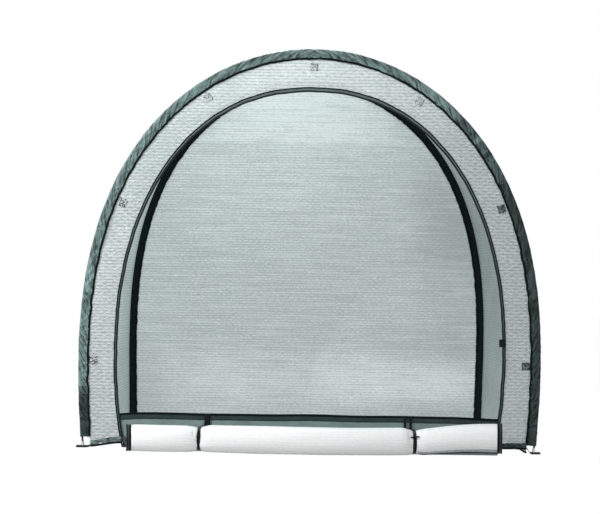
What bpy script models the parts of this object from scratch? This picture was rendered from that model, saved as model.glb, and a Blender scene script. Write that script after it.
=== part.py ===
"""Frost protection tent: a film cover on two bent hoops, with its front door rolled down.

The frame has +X to the right seen from the front, +Y to the rear and +Z up. The origin is on
the ground, under the middle of the whole tent with its rolled door. All sizes are in metres.
"""

import math

import bmesh
import bpy
from mathutils import Matrix, Vector

# Clearance between neighbours that touch
GAP = 0.0003

# Hoops: bent rods, each pushed together from short sections
HOOP_SPACING = 1.00
FRONT_ROD_LENGTH = 4.53
REAR_ROD_LENGTH = 4.60
FRONT_FOOT_SPAN = 1.96
REAR_FOOT_SPAN = 1.862
# A rod's bend grows with its height above this depth; the rear wall keeps the rear legs straighter
FRONT_BEND_DEPTH = 0.105
REAR_BEND_DEPTH = -0.19
ROD_DIAMETER = 0.0085
SECTIONS_PER_HOOP = 5
BENDS_PER_SECTION = 8
FERRULE_LENGTH = 0.060
FERRULE_WALL = 0.0008

# Metal tips at the feet
TIP_PIN_LENGTH = 0.007
TIP_PIN_DIAMETER = 0.0055
TIP_BODY_LENGTH = 0.018
TIP_SOCKET_DEPTH = 0.013
TIP_WALL = 0.0012
TIP_CHAMFER = 0.0006

# Cloth sleeves that hold the rods
SLEEVE_WIDTH = 0.042
SLEEVE_CLOTH = 0.0008
SLEEVE_LIFT_LEFT = 0.045
SLEEVE_LIFT_RIGHT = 0.034
PIPING_WIDTH = 0.010
PIPING_THICKNESS = 0.0009

# Film cover
FILM = 0.003
FILM_TUCK = 0.004
HEM_HEIGHT = 0.026
HEM_CLOTH = 0.0010
CANOPY_SAG = 0.012

# Door opening, a rounded arch whose zip tape keeps these distances from the front rod
DOOR_SIDE_MARGIN = 0.146
DOOR_TOP_MARGIN = 0.165
DOOR_WIDEST_HEIGHT = 0.413
DOOR_ROUNDNESS = 2.2
DOOR_BENDS = 40
ZIP_TAPE_SIDE_WIDTH = 0.015
ZIP_TAPE_TOP_WIDTH = 0.026
ZIP_TAPE_THICKNESS = 0.0010
ZIP_TAPE_OVERLAP = 0.005
TEETH_WIDTH = 0.0032
TEETH_THICKNESS = 0.0024

# Zip sliders, parked at the foot of the zip on both sides
SLIDER_HEIGHT = 0.036
SLIDER_LENGTH = 0.016
SLIDER_TRAVEL = 0.075
SLIDER_WALL = 0.0011
SLIDER_SIDE_CLEARANCE = 0.0012
SLIDER_LIP = 0.0030
PULL_LENGTH = 0.018
PULL_WIDTH = 0.008
PULL_NECK_WIDTH = 0.005
PULL_THICKNESS = 0.0014

# Threshold across the door opening
SILL_HEIGHT = 0.156
SILL_CLOTH = 0.0012
SILL_BINDING_WIDTH = 0.035
SILL_LOOP_X = 0.435
SILL_LOOP_SHIFT_X = -0.005
SILL_LOOP_WIDTH = 0.028
SILL_LOOP_LENGTH = 0.055
SILL_LOOP_BULGE = 0.0030
SILL_LOOP_SEAM = 0.022
SILL_LOOP_BELOW_EDGE = 0.002
WEBBING = 0.0012

# Door film rolled up at the ground in front of the threshold
ROLL_SHORTER_THAN_DOOR = 0.058
ROLL_SHIFT_X = 0.029
ROLL_FORWARD = 0.088
ROLL_RADIUS_LEFT = 0.0575
ROLL_RADIUS_MIDDLE = 0.0560
ROLL_RADIUS_RIGHT = 0.0590
ROLL_PINCH_RADIUS = 0.0470
ROLL_PINCH_FLAT = 0.022
ROLL_PINCH_REACH = 0.055
ROLL_END_DRAW = 0.003
ROLL_END_REACH = 0.040
ROLL_SIDES = 18
DOOR_TAPE_WIDTH = 0.018
DOOR_TAPE_INSET = 0.002

# Ties that hold the roll
TIE_OFFSET_X = 0.457
TIE_SHIFT_X = -0.0095
TIE_WIDTH = 0.017
TIE_THICKNESS = 0.0015
ELASTIC_DIAMETER = 0.0026
ELASTIC_STEPS = 14
TOGGLE_DEGREES = 30
TOGGLE_TURN_LEFT = 90.0
TOGGLE_TURN_RIGHT = 7.0
TOGGLE_LENGTH = 0.037
TOGGLE_DIAMETER = 0.0065
TOGGLE_CORD_DIAMETER = 0.0030
TOGGLE_KNOT_DIAMETER = 0.0065
TOGGLE_KNOT_LENGTH = 0.0058
TOGGLE_KNOT_CHAMFER = 0.0013

# Webbing straps with eyelets that take the tips of the rods
CORNER_STRAP_WIDTH = 0.025
CORNER_STRAP_REACH = 0.028
CORNER_STRAP_THICKNESS = 0.0015
EYELET_BORE_DIAMETER = 0.0076
EYELET_WALL = 0.0010
EYELET_FLANGE_DIAMETER = 0.0140

# Small webbing tab beside the zip on the right
TAB_HEIGHT = 0.479
TAB_LENGTH = 0.034
TAB_REACH = 0.016
TAB_THICKNESS = 0.002

ROUND_SIDES = 8
FRONT_Y = -HOOP_SPACING / 2
REAR_Y = HOOP_SPACING / 2


def make_material(name, colour, roughness, metallic=0.0):
    """Give a plain material for one kind of finish."""
    material = bpy.data.materials.new(name)
    material.use_nodes = True
    shader = material.node_tree.nodes["Principled BSDF"]
    shader.inputs["Base Color"].default_value = (*colour, 1.0)
    shader.inputs["Roughness"].default_value = roughness
    shader.inputs["Metallic"].default_value = metallic
    return material


def add_object(name, mesh_builder, material, origin=(0.0, 0.0, 0.0), smooth=False):
    """Turn a bmesh drawn in place into an object whose origin is at the given point."""
    origin = Vector(origin)
    bmesh.ops.translate(mesh_builder, verts=mesh_builder.verts, vec=-origin)
    bmesh.ops.recalc_face_normals(mesh_builder, faces=mesh_builder.faces)
    mesh = bpy.data.meshes.new(name)
    mesh_builder.to_mesh(mesh)
    mesh_builder.free()
    mesh.materials.append(material)
    if smooth:
        mesh.shade_smooth()
        mesh.set_sharp_from_angle(angle=math.radians(35))
    thing = bpy.data.objects.new(name, mesh)
    thing.location = origin
    bpy.context.scene.collection.objects.link(thing)
    return thing


def add_rings(mesh_builder, rings, tube_closes=False):
    """Skin a row of rings of points, with caps on the two ends unless the tube closes."""
    rows = [[mesh_builder.verts.new(point) for point in ring] for ring in rings]
    count = len(rows[0])
    pairs = list(zip(rows, rows[1:]))
    if tube_closes:
        pairs.append((rows[-1], rows[0]))
    for row, following in pairs:
        for side in range(count):
            after = (side + 1) % count
            mesh_builder.faces.new((row[side], row[after], following[after], following[side]))
    if not tube_closes:
        mesh_builder.faces.new(rows[0])
        mesh_builder.faces.new(list(reversed(rows[-1])))


def solid_from_rings(*ring_rows, tube_closes=False):
    """Give one bmesh that holds a closed solid for each row of rings."""
    mesh_builder = bmesh.new()
    for rings in ring_rows:
        add_rings(mesh_builder, rings, tube_closes=tube_closes)
    return mesh_builder


def box_rings(low, high):
    """Give the two rings of a box between two corners."""
    corners = [(low[0], low[1]), (high[0], low[1]), (high[0], high[1]), (low[0], high[1])]
    return [[Vector((x, y, z)) for x, y in corners] for z in (low[2], high[2])]


def circle(radius, sides=ROUND_SIDES, centre=(0.0, 0.0)):
    """Give a ring of flat points round a centre."""
    step = 2 * math.pi / sides
    return [
        (centre[0] + radius * math.cos(step * side), centre[1] + radius * math.sin(step * side))
        for side in range(sides)
    ]


def turned_rings(profile, sides, centre, axis):
    """Turn a profile of (radius, distance along the axis) round an axis through a centre."""
    turn = Vector((0.0, 0.0, 1.0)).rotation_difference(Vector(axis)).to_matrix()
    rings = []
    for radius, distance in profile:
        ring = [turn @ Vector((x, y, distance)) for x, y in circle(radius, sides)]
        rings.append([Vector(centre) + point for point in ring])
    return rings


def bisect(low, high, miss):
    """Find where a steadily changing quantity crosses zero."""
    rising = miss(high) > 0
    for _ in range(40):
        middle = (low + high) / 2
        if (miss(middle) > 0) == rising:
            high = middle
        else:
            low = middle
    return (low + high) / 2


def half_rod(rod_length, height, bend, bend_depth):
    """Follow a bent rod from its top down to its foot, as points (x, z) evenly spaced."""
    steps = SECTIONS_PER_HOOP * BENDS_PER_SECTION * 10
    step = rod_length / 2 / steps
    x, z, slope = 0.0, height, 0.0
    points = [(x, z)]
    for _ in range(steps):
        middle_height = z - step / 2 * math.sin(slope)
        middle_slope = slope + step / 2 * bend * (z + bend_depth)
        x += step * math.cos(middle_slope)
        z -= step * math.sin(middle_slope)
        slope += step * bend * (middle_height + bend_depth)
        points.append((x, z))
    return points


def rod_height(rod_length, bend, bend_depth):
    """Find the height at which a rod of the given length just reaches the ground."""
    return bisect(
        0.1 * rod_length,
        0.5 * rod_length,
        lambda height: half_rod(rod_length, height, bend, bend_depth)[-1][1],
    )


def hoop_points(rod_length, foot_span, bend_depth):
    """Give the corners of a hoop whose feet stand the given distance apart."""

    def follow(bend):
        """Follow the rod that has the given bend and just reaches the ground."""
        return half_rod(rod_length, rod_height(rod_length, bend, bend_depth), bend, bend_depth)

    softest = 2.0 / rod_length**2
    bend = bisect(softest, 15 * softest, lambda trial: follow(trial)[-1][0] - foot_span / 2)
    half = follow(bend)[::20]
    return [(-x, z) for x, z in reversed(half)] + half[1:]


def door_points(hoop):
    """Give the corners of the door arch in a hoop, from left foot to right foot."""
    half_width = max(corner.x for corner in hoop.corners) - DOOR_SIDE_MARGIN
    hoop_top = max(corner.y for corner in hoop.corners)
    rise = hoop_top - DOOR_TOP_MARGIN - DOOR_WIDEST_HEIGHT
    lowest = -math.asin((DOOR_WIDEST_HEIGHT / rise) ** (DOOR_ROUNDNESS / 2))
    fine = []
    fine_steps = 400
    for step in range(fine_steps + 1):
        angle = lowest + (math.pi / 2 - lowest) * step / fine_steps
        across = math.cos(angle) ** (2 / DOOR_ROUNDNESS)
        upwards = math.copysign(abs(math.sin(angle)) ** (2 / DOOR_ROUNDNESS), angle)
        fine.append((-half_width * across, DOOR_WIDEST_HEIGHT + rise * upwards))
    whole = Arch(fine + [(-x, z) for x, z in reversed(fine[:-1])], FRONT_Y)
    spots = [whole.length * step / DOOR_BENDS for step in range(DOOR_BENDS + 1)]
    return [(whole.point(spot).x, whole.point(spot).z) for spot in spots]


class Arch:
    """A chain of straight stretches standing in a plane of constant y, left foot to right foot."""

    def __init__(self, corners, y):
        self.y = y
        self.corners = [Vector((x, z)) for x, z in corners]
        self.distances = [0.0]
        for start, end in zip(self.corners, self.corners[1:]):
            self.distances.append(self.distances[-1] + (end - start).length)
        self.length = self.distances[-1]

    def stretch(self, distance):
        """Give the number of the straight stretch that holds a distance."""
        for number, end in enumerate(self.distances[1:]):
            if distance <= end:
                return number
        return len(self.distances) - 2

    def outward(self, distance):
        """Give the direction away from the inside of the arch, halved at a corner."""
        number = self.stretch(distance)
        along = (self.corners[number + 1] - self.corners[number]).normalized()
        at_corner = math.isclose(distance, self.distances[number + 1], abs_tol=1e-7)
        if at_corner and number + 2 < len(self.corners):
            after = (self.corners[number + 2] - self.corners[number + 1]).normalized()
            along = (along + after).normalized()
        return Vector((-along.y, along.x))

    def point(self, distance, out=0.0, depth=0.0):
        """Give the point at a distance from the left foot, shifted outward and to the rear."""
        number = self.stretch(distance)
        start, end = self.corners[number], self.corners[number + 1]
        share = (distance - self.distances[number]) / (end - start).length
        flat = start.lerp(end, share) + self.outward(distance) * out
        return Vector((flat.x, self.y + depth, flat.y))

    def stops(self, start, end):
        """Give the distances of the two ends and of each corner between them."""
        clear = 0.001
        inner = [d for d in self.distances if start + clear < d < end - clear]
        return [start, *inner, end]

    def rise(self, height, out=0.0):
        """Find how far along the left side a shifted line reaches a height."""
        return bisect(0.0, self.length / 4, lambda d: self.point(d, out).z - height)

    def sweep(self, start, end, section):
        """Give a section's rings from start to end; the section is (out, depth) points."""
        return [
            [self.point(distance, out, depth) for out, depth in section(distance)]
            for distance in self.stops(start, end)
        ]


def rod_radius():
    return ROD_DIAMETER / 2


def ferrule_bore():
    """Radius of a ferrule's bore at its corners, clear of the rod everywhere."""
    return (rod_radius() + GAP) / math.cos(math.pi / ROUND_SIDES)


def rod_start():
    """Distance along a hoop from the ground to the end of the rod in its tip."""
    return TIP_PIN_LENGTH + TIP_BODY_LENGTH - TIP_SOCKET_DEPTH + GAP


def joint_distances(hoop):
    """Give the distances of the ends of all sections along a hoop."""
    first = rod_start()
    share = (hoop.length - 2 * first) / SECTIONS_PER_HOOP
    return [first + share * number for number in range(SECTIONS_PER_HOOP + 1)]


SLEEVE_TURNS = [math.radians(-120 + 40 * number) for number in range(7)]
SLEEVE_BORE = (ferrule_bore() + FERRULE_WALL + GAP) / math.cos(math.radians(20))
SLEEVE_RADIUS = SLEEVE_BORE + SLEEVE_CLOTH
SLEEVE_EDGE = SLEEVE_RADIUS - SLEEVE_WIDTH
SLEEVE_EDGE_DEPTH = FILM / 2 + GAP + SLEEVE_CLOTH
WALL_EDGE = SLEEVE_EDGE + FILM_TUCK
TAPE_BACK = -(FILM / 2 + GAP)
TAPE_FRONT = TAPE_BACK - ZIP_TAPE_THICKNESS
TEETH_MIDDLE = TAPE_BACK - ZIP_TAPE_THICKNESS
SILL_FRONT = TEETH_MIDDLE + TEETH_THICKNESS / 2 + 3 * GAP + SLIDER_WALL + SILL_CLOTH
HEM_DEPTH = FILM / 2 + GAP + HEM_CLOTH
FILM_BOTTOM = HEM_CLOTH + GAP


def sleeve_section(_distance):
    """A strip folded round the rod, with the film's edge caught between its two edges."""
    outer = [(SLEEVE_RADIUS * math.cos(a), SLEEVE_RADIUS * math.sin(a)) for a in SLEEVE_TURNS]
    inner = [(SLEEVE_BORE * math.cos(a), SLEEVE_BORE * math.sin(a)) for a in SLEEVE_TURNS]
    inner_depth = SLEEVE_EDGE_DEPTH - SLEEVE_CLOTH
    seam = SLEEVE_EDGE + PIPING_WIDTH
    return [
        (SLEEVE_EDGE, -SLEEVE_EDGE_DEPTH),
        (seam, -SLEEVE_EDGE_DEPTH),
        *outer,
        (seam, SLEEVE_EDGE_DEPTH),
        (SLEEVE_EDGE, SLEEVE_EDGE_DEPTH),
        (SLEEVE_EDGE, inner_depth),
        (seam, inner_depth),
        *reversed(inner),
        (seam, -inner_depth),
        (SLEEVE_EDGE, -inner_depth),
    ]


def strip_section(out_low, out_high, depth_low, depth_high):
    """A rectangle that keeps its size along the arch."""
    corners = [
        (out_low, depth_low),
        (out_high, depth_low),
        (out_high, depth_high),
        (out_low, depth_high),
    ]
    return lambda _distance: corners


def tape_width(door, distance):
    """The zip tape lies flat at the top and is drawn narrower at the sides."""
    level = max(0.0, door.outward(distance).y)
    return ZIP_TAPE_SIDE_WIDTH + (ZIP_TAPE_TOP_WIDTH - ZIP_TAPE_SIDE_WIDTH) * level**2


def build_hoop(prefix, hoop, materials):
    """Rod sections, ferrules and tips of one hoop."""
    ends = joint_distances(hoop)
    rod = circle(rod_radius())
    for number in range(SECTIONS_PER_HOOP):
        start, end = ends[number] + GAP / 2, ends[number + 1] - GAP / 2
        mesh_builder = solid_from_rings(hoop.sweep(start, end, lambda _d: rod))
        origin = hoop.point((start + end) / 2)
        name = f"{prefix}_rod_section_{number + 1}"
        add_object(name, mesh_builder, materials["rod"], origin, smooth=True)

    bore = circle(ferrule_bore())
    outside = circle(ferrule_bore() + FERRULE_WALL)
    for number, joint in enumerate(ends[1:-1], start=1):
        start, end = joint - FERRULE_LENGTH / 2, joint + FERRULE_LENGTH / 2
        out_rings = hoop.sweep(start, end, lambda _d: outside)
        bore_rings = hoop.sweep(start, end, lambda _d: bore)
        mesh_builder = solid_from_rings(out_rings + bore_rings[::-1], tube_closes=True)
        origin = hoop.point(joint)
        name = f"{prefix}_ferrule_{number}"
        add_object(name, mesh_builder, materials["metal"], origin, smooth=True)

    socket = ferrule_bore()
    body_top = TIP_PIN_LENGTH + TIP_BODY_LENGTH
    profile = [
        (TIP_PIN_DIAMETER / 2 - TIP_CHAMFER, 0.0),
        (TIP_PIN_DIAMETER / 2, TIP_CHAMFER),
        (TIP_PIN_DIAMETER / 2, TIP_PIN_LENGTH),
        (socket + TIP_WALL, TIP_PIN_LENGTH + TIP_CHAMFER),
        (socket + TIP_WALL, body_top),
        (socket, body_top),
        (socket, body_top - TIP_SOCKET_DEPTH),
    ]
    for side, foot, above in (("left", 0, 1), ("right", -1, -2)):
        base = Vector((hoop.corners[foot].x, hoop.y, GAP))
        along = hoop.corners[above] - hoop.corners[foot]
        axis = Vector((along.x, 0.0, along.y)).normalized()
        rings = turned_rings(profile, 12, base, axis)
        mesh_builder = solid_from_rings(rings)
        add_object(f"{prefix}_tip_{side}", mesh_builder, materials["metal"], base, smooth=True)


def build_sleeve(prefix, hoop, outside, materials):
    """Sleeve and its piping; outside is -1 where the tent's outside faces the front."""
    start = hoop.rise(SLEEVE_LIFT_LEFT)
    end = hoop.length - hoop.rise(SLEEVE_LIFT_RIGHT)
    rings = hoop.sweep(start, end, sleeve_section)
    add_object(f"{prefix}_sleeve", solid_from_rings(rings), materials["sleeve"])

    near = SLEEVE_EDGE_DEPTH + GAP
    far = near + PIPING_THICKNESS
    low, high = sorted((outside * near, outside * far))
    middle = SLEEVE_EDGE
    section = strip_section(middle - PIPING_WIDTH / 2, middle + PIPING_WIDTH / 2, low, high)
    rings = hoop.sweep(start, end, section)
    add_object(f"{prefix}_sleeve_piping", solid_from_rings(rings), materials["tape"])


CANOPY_STATIONS = [0.0, 0.25, 0.5, 0.75, 1.0]


def build_canopy(front, rear, materials):
    """Side and roof film, drawn slightly inward between the two hoops."""
    behind = SLEEVE_RADIUS + GAP
    start_z = FILM_BOTTOM
    front_start, rear_start = front.rise(start_z), rear.rise(start_z)
    columns = SECTIONS_PER_HOOP * BENDS_PER_SECTION
    in_hem = HEM_HEIGHT / front.length
    shares = [0.0, in_hem, *(column / columns for column in range(1, columns)), 1.0 - in_hem, 1.0]
    rings = []
    for share in shares:
        front_spot = front_start + (front.length - 2 * front_start) * share
        rear_spot = rear_start + (rear.length - 2 * rear_start) * share
        outer, inner = [], []
        for part in CANOPY_STATIONS:
            sag = 4 * part * (1 - part) * CANOPY_SAG * math.sin(math.pi * share) ** 2
            for row, lift in ((outer, FILM / 2), (inner, -FILM / 2)):
                near = front.point(front_spot, lift - sag, behind)
                far = rear.point(rear_spot, lift - sag, -behind)
                row.append(near.lerp(far, part))
        for point in (*outer, *inner):
            point.z = start_z if share in (0.0, 1.0) else point.z
        rings.append(outer + inner[::-1])
    add_object("canopy_film", solid_from_rings(rings), materials["film"])


def build_front_wall(front, door, materials):
    """Film between the front sleeve and the door opening."""
    outer_start = front.rise(FILM_BOTTOM, WALL_EDGE)
    inner_start = door.rise(FILM_BOTTOM, -ZIP_TAPE_OVERLAP)
    columns = SECTIONS_PER_HOOP * BENDS_PER_SECTION
    rings = []
    for column in range(columns + 1):
        share = column / columns
        outer_spot = outer_start + (front.length - 2 * outer_start) * share
        inner_spot = inner_start + (door.length - 2 * inner_start) * share
        outer = [front.point(outer_spot, WALL_EDGE, depth) for depth in (-FILM / 2, FILM / 2)]
        inner = [door.point(inner_spot, -ZIP_TAPE_OVERLAP, d) for d in (FILM / 2, -FILM / 2)]
        rings.append(outer + inner)
    add_object("front_wall_film", solid_from_rings(rings), materials["film"])


def build_rear_wall(rear, materials):
    """Film that closes the rear hoop."""
    start = rear.rise(FILM_BOTTOM, WALL_EDGE)
    stops = rear.stops(start, rear.length - start)
    rings = [[rear.point(spot, WALL_EDGE, d) for spot in stops] for d in (-FILM / 2, FILM / 2)]
    add_object("rear_wall_film", solid_from_rings(rings), materials["film"])


def hem_section():
    """A folded strip round the bottom edge of a film, as (depth, height) points."""
    inner = HEM_DEPTH - HEM_CLOTH
    return [
        (-HEM_DEPTH, 0.0),
        (HEM_DEPTH, 0.0),
        (HEM_DEPTH, HEM_HEIGHT),
        (inner, HEM_HEIGHT),
        (inner, HEM_CLOTH),
        (-inner, HEM_CLOTH),
        (-inner, HEM_HEIGHT),
        (-HEM_DEPTH, HEM_HEIGHT),
    ]


def build_hems(front, rear, door, materials):
    """Folded hems along the ground on all sides except across the door."""
    wall_foot = front.point(front.rise(FILM_BOTTOM, WALL_EDGE), WALL_EDGE).x
    door_foot = door.point(door.rise(HEM_HEIGHT)).x
    for side, sign in (("left", 1), ("right", -1)):
        ends = (sign * wall_foot, sign * (door_foot - GAP))
        rings = [[Vector((x, FRONT_Y + d, z)) for d, z in hem_section()] for x in ends]
        add_object(f"front_hem_{side}", solid_from_rings(rings), materials["hem"])

    rear_foot = rear.point(rear.rise(FILM_BOTTOM, WALL_EDGE), WALL_EDGE).x
    ends = (rear_foot, -rear_foot)
    rings = [[Vector((x, REAR_Y + d, z)) for d, z in hem_section()] for x in ends]
    add_object("rear_hem", solid_from_rings(rings), materials["hem"])

    start_depth = SLEEVE_RADIUS + GAP
    front_end = Vector((front.corners[0].x, FRONT_Y + start_depth, 0.0))
    rear_end = Vector((rear.corners[0].x, REAR_Y - start_depth, 0.0))
    profiles = []
    for end, foot in ((front_end, front), (rear_end, rear)):
        lean = foot.corners[1] - foot.corners[0]
        slant = lean.x / lean.y
        profiles.append([Vector((end.x + d + slant * z, end.y, z)) for d, z in hem_section()])
    for side, sign in (("left", 1), ("right", -1)):
        mirror = Matrix.Diagonal((sign, 1.0, 1.0))
        rings = [
            [mirror @ near.lerp(far, part) for near, far in zip(*profiles)]
            for part in CANOPY_STATIONS
        ]
        add_object(f"side_hem_{side}", solid_from_rings(rings), materials["hem"])


def build_zip(door, materials):
    """Zip tape with its teeth round the door opening, and the webbing tab beside it."""
    start = door.rise(GAP)
    end = door.length - start

    def section(distance):
        edge = -tape_width(door, distance)
        low, high = TEETH_MIDDLE - TEETH_THICKNESS / 2, TEETH_MIDDLE + TEETH_THICKNESS / 2
        return [
            (0.0, TAPE_FRONT),
            (0.0, TAPE_BACK),
            (edge, TAPE_BACK),
            (edge, high),
            (edge - TEETH_WIDTH, high),
            (edge - TEETH_WIDTH, low),
            (edge, low),
            (edge, TAPE_FRONT),
        ]

    tape = add_object("zip_tape", solid_from_rings(door.sweep(start, end, section)), materials["tape"])

    spot = door.length - door.rise(TAB_HEIGHT)
    half = TAB_LENGTH / 2
    reach = tape_width(door, spot) + TAB_REACH
    seam = TAPE_BACK - ZIP_TAPE_THICKNESS / 2
    corners = strip_section(-reach, -ZIP_TAPE_OVERLAP - 2 * GAP, seam, TAPE_BACK + TAB_THICKNESS)
    rings = door.sweep(spot - half, spot + half, corners)
    tab = add_object("zip_side_tab", solid_from_rings(rings), materials["webbing"])
    combine(tape, tab, "UNION")


def slider_frame(door, height):
    """Give the teeth's middle at a height on the left, and the same at the end of travel."""
    def teeth_point(distance):
        out = -tape_width(door, distance) - TEETH_WIDTH / 2
        return door.point(distance, out, TEETH_MIDDLE)

    low = teeth_point(door.rise(height))
    high = teeth_point(door.rise(height) + SLIDER_TRAVEL)
    return low, (high - low).normalized()


def build_sliders(door, materials):
    """Zip sliders clipped round the teeth on both sides, each with its pull."""
    middle, along = slider_frame(door, SLIDER_HEIGHT)
    inward = Vector((along.z, 0.0, -along.x))
    half_teeth = TEETH_WIDTH / 2
    half_thick = TEETH_THICKNESS / 2
    near = half_thick + GAP
    far = near + SLIDER_WALL
    wall = half_teeth + SLIDER_SIDE_CLEARANCE
    lip = wall + SLIDER_LIP
    clip = [
        (-lip, -far),
        (wall + SLIDER_WALL, -far),
        (wall + SLIDER_WALL, far),
        (-lip, far),
        (-lip, near),
        (wall, near),
        (wall, -near),
        (-lip, -near),
    ]
    for side, sign in (("left", 1), ("right", -1)):
        mirror = Matrix.Diagonal((sign, 1.0, 1.0))
        origin = mirror @ middle
        rings = []
        for shift in (-SLIDER_LENGTH / 2, SLIDER_LENGTH / 2):
            ring = [middle + inward * a + Vector((0, b, 0)) + along * shift for a, b in clip]
            rings.append([mirror @ point for point in ring])
        slider = add_object(
            f"zip_slider_{side}", solid_from_rings(rings), materials["metal"], origin
        )

        hinge = middle + Vector((0.0, -far - GAP - PULL_THICKNESS / 2, 0.0))
        rings = []
        for shift, width in (
            (PULL_THICKNESS / 2, PULL_NECK_WIDTH),
            (PULL_THICKNESS - PULL_LENGTH, PULL_WIDTH),
            (-PULL_LENGTH, PULL_NECK_WIDTH),
        ):
            ring = []
            for a, b in ((-1, -1), (1, -1), (1, 1), (-1, 1)):
                offset = inward * (a * width / 2) + Vector((0, b * PULL_THICKNESS / 2, 0))
                ring.append(mirror @ (hinge + offset + along * shift))
            rings.append(ring)
        pull = add_object(
            f"zip_pull_{side}", solid_from_rings(rings), materials["metal"], mirror @ hinge
        )
        pull.parent = slider
        pull.location = pull.location - slider.location


def ribbon_rings(path, thickness, x_low, x_high):
    """Give the two end rings of a strip that follows a path of (y, z) points."""
    sides = ([], [])
    for number, point in enumerate(path):
        before = Vector(path[max(number - 1, 0)])
        after = Vector(path[min(number + 1, len(path) - 1)])
        along = (after - before).normalized()
        normal = Vector((-along.y, along.x)) * thickness / 2
        sides[0].append(Vector(point) + normal)
        sides[1].append(Vector(point) - normal)
    outline = sides[0] + sides[1][::-1]
    return [[Vector((x, p.x, p.y)) for p in outline] for x in (x_low, x_high)]


def build_sill(door, materials):
    """Threshold panel, its binding and the two webbing loops that hold the ties."""
    def half_width(height):
        return -door.point(door.rise(height), -ZIP_TAPE_OVERLAP - GAP).x

    front, back = FRONT_Y + SILL_FRONT, FRONT_Y + SILL_FRONT + SILL_CLOTH
    rings = []
    for depth in (front, back):
        rings.append([])
        for sign, heights in ((-1, (0.0, 0.5, 1.0)), (1, (1.0, 0.5, 0.0))):
            for share in heights:
                z = share * (SILL_HEIGHT - SILL_CLOTH - GAP)
                rings[-1].append(Vector((sign * (half_width(z) - 0.5 * GAP), depth, z)))
    add_object("sill_panel", solid_from_rings(rings), materials["sleeve"])

    top, low = SILL_HEIGHT, SILL_HEIGHT - SILL_BINDING_WIDTH
    fold = [
        (front - GAP - SILL_CLOTH, low),
        (front - GAP, low),
        (front - GAP, top - SILL_CLOTH),
        (back + GAP, top - SILL_CLOTH),
        (back + GAP, low),
        (back + GAP + SILL_CLOTH, low),
        (back + GAP + SILL_CLOTH, top),
        (front - GAP - SILL_CLOTH, top),
    ]
    width = half_width(low) - GAP
    rings = [[Vector((x, y, z)) for y, z in fold] for x in (-width, width)]
    add_object("sill_binding", solid_from_rings(rings), materials["tape"])

    bottom = top - SILL_LOOP_LENGTH
    rear_y = front - GAP - SILL_CLOTH - GAP - WEBBING / 2
    turn = SILL_LOOP_BULGE
    loop_top = top - SILL_LOOP_BELOW_EDGE
    path = [(rear_y, loop_top), (rear_y, bottom + turn)]
    for step in range(1, 6):
        angle = math.radians(180 * step / 6)
        path.append((rear_y - turn + turn * math.cos(angle), bottom + turn - turn * math.sin(angle)))
    path.append((rear_y - 2 * turn, bottom + turn))
    path.append((rear_y - WEBBING - GAP, top - SILL_LOOP_SEAM))
    path.append((rear_y - WEBBING - GAP, loop_top))
    for side, sign in (("left", -1), ("right", 1)):
        middle = SILL_LOOP_SHIFT_X + sign * SILL_LOOP_X
        low_x, high_x = middle - SILL_LOOP_WIDTH / 2, middle + SILL_LOOP_WIDTH / 2
        rings = ribbon_rings(path, WEBBING, low_x, high_x)
        origin = (middle, rear_y, top)
        add_object(f"sill_loop_{side}", solid_from_rings(rings), materials["webbing"], origin)
    return rear_y - turn, bottom + turn


class Roll:
    """The rolled door: three puffs with a pinch at each tie."""

    def __init__(self, door):
        length = 2 * door.corners[-1].x - ROLL_SHORTER_THAN_DOOR
        self.left = ROLL_SHIFT_X - length / 2
        self.right = ROLL_SHIFT_X + length / 2
        self.axis_y = FRONT_Y - ROLL_FORWARD
        self.axis_z = ROLL_RADIUS_MIDDLE

    def swell(self, x):
        """Radius of the puff at x, before the pinches."""
        if x < TIE_SHIFT_X - TIE_OFFSET_X:
            return ROLL_RADIUS_LEFT
        return ROLL_RADIUS_RIGHT if x > TIE_SHIFT_X + TIE_OFFSET_X else ROLL_RADIUS_MIDDLE

    def radius(self, x):
        """Radius at x with the pinches of the ties and the slightly drawn-in ends."""
        away = abs(abs(x - TIE_SHIFT_X) - TIE_OFFSET_X) - ROLL_PINCH_FLAT / 2
        share = min(max(away / ROLL_PINCH_REACH, 0.0), 1.0)
        puff = math.sin(share * math.pi / 2) ** 0.7
        full = ROLL_PINCH_RADIUS + (self.swell(x) - ROLL_PINCH_RADIUS) * puff
        to_end = min(x - self.left, self.right - x)
        return full - ROLL_END_DRAW * max(0.0, 1.0 - to_end / ROLL_END_REACH) ** 2

    def point(self, x, degrees, radius):
        """Point round the roll; 0 faces the front and 90 faces up."""
        angle = math.radians(degrees)
        y = self.axis_y - radius * math.cos(angle)
        return Vector((x, y, self.axis_z + radius * math.sin(angle)))


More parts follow.
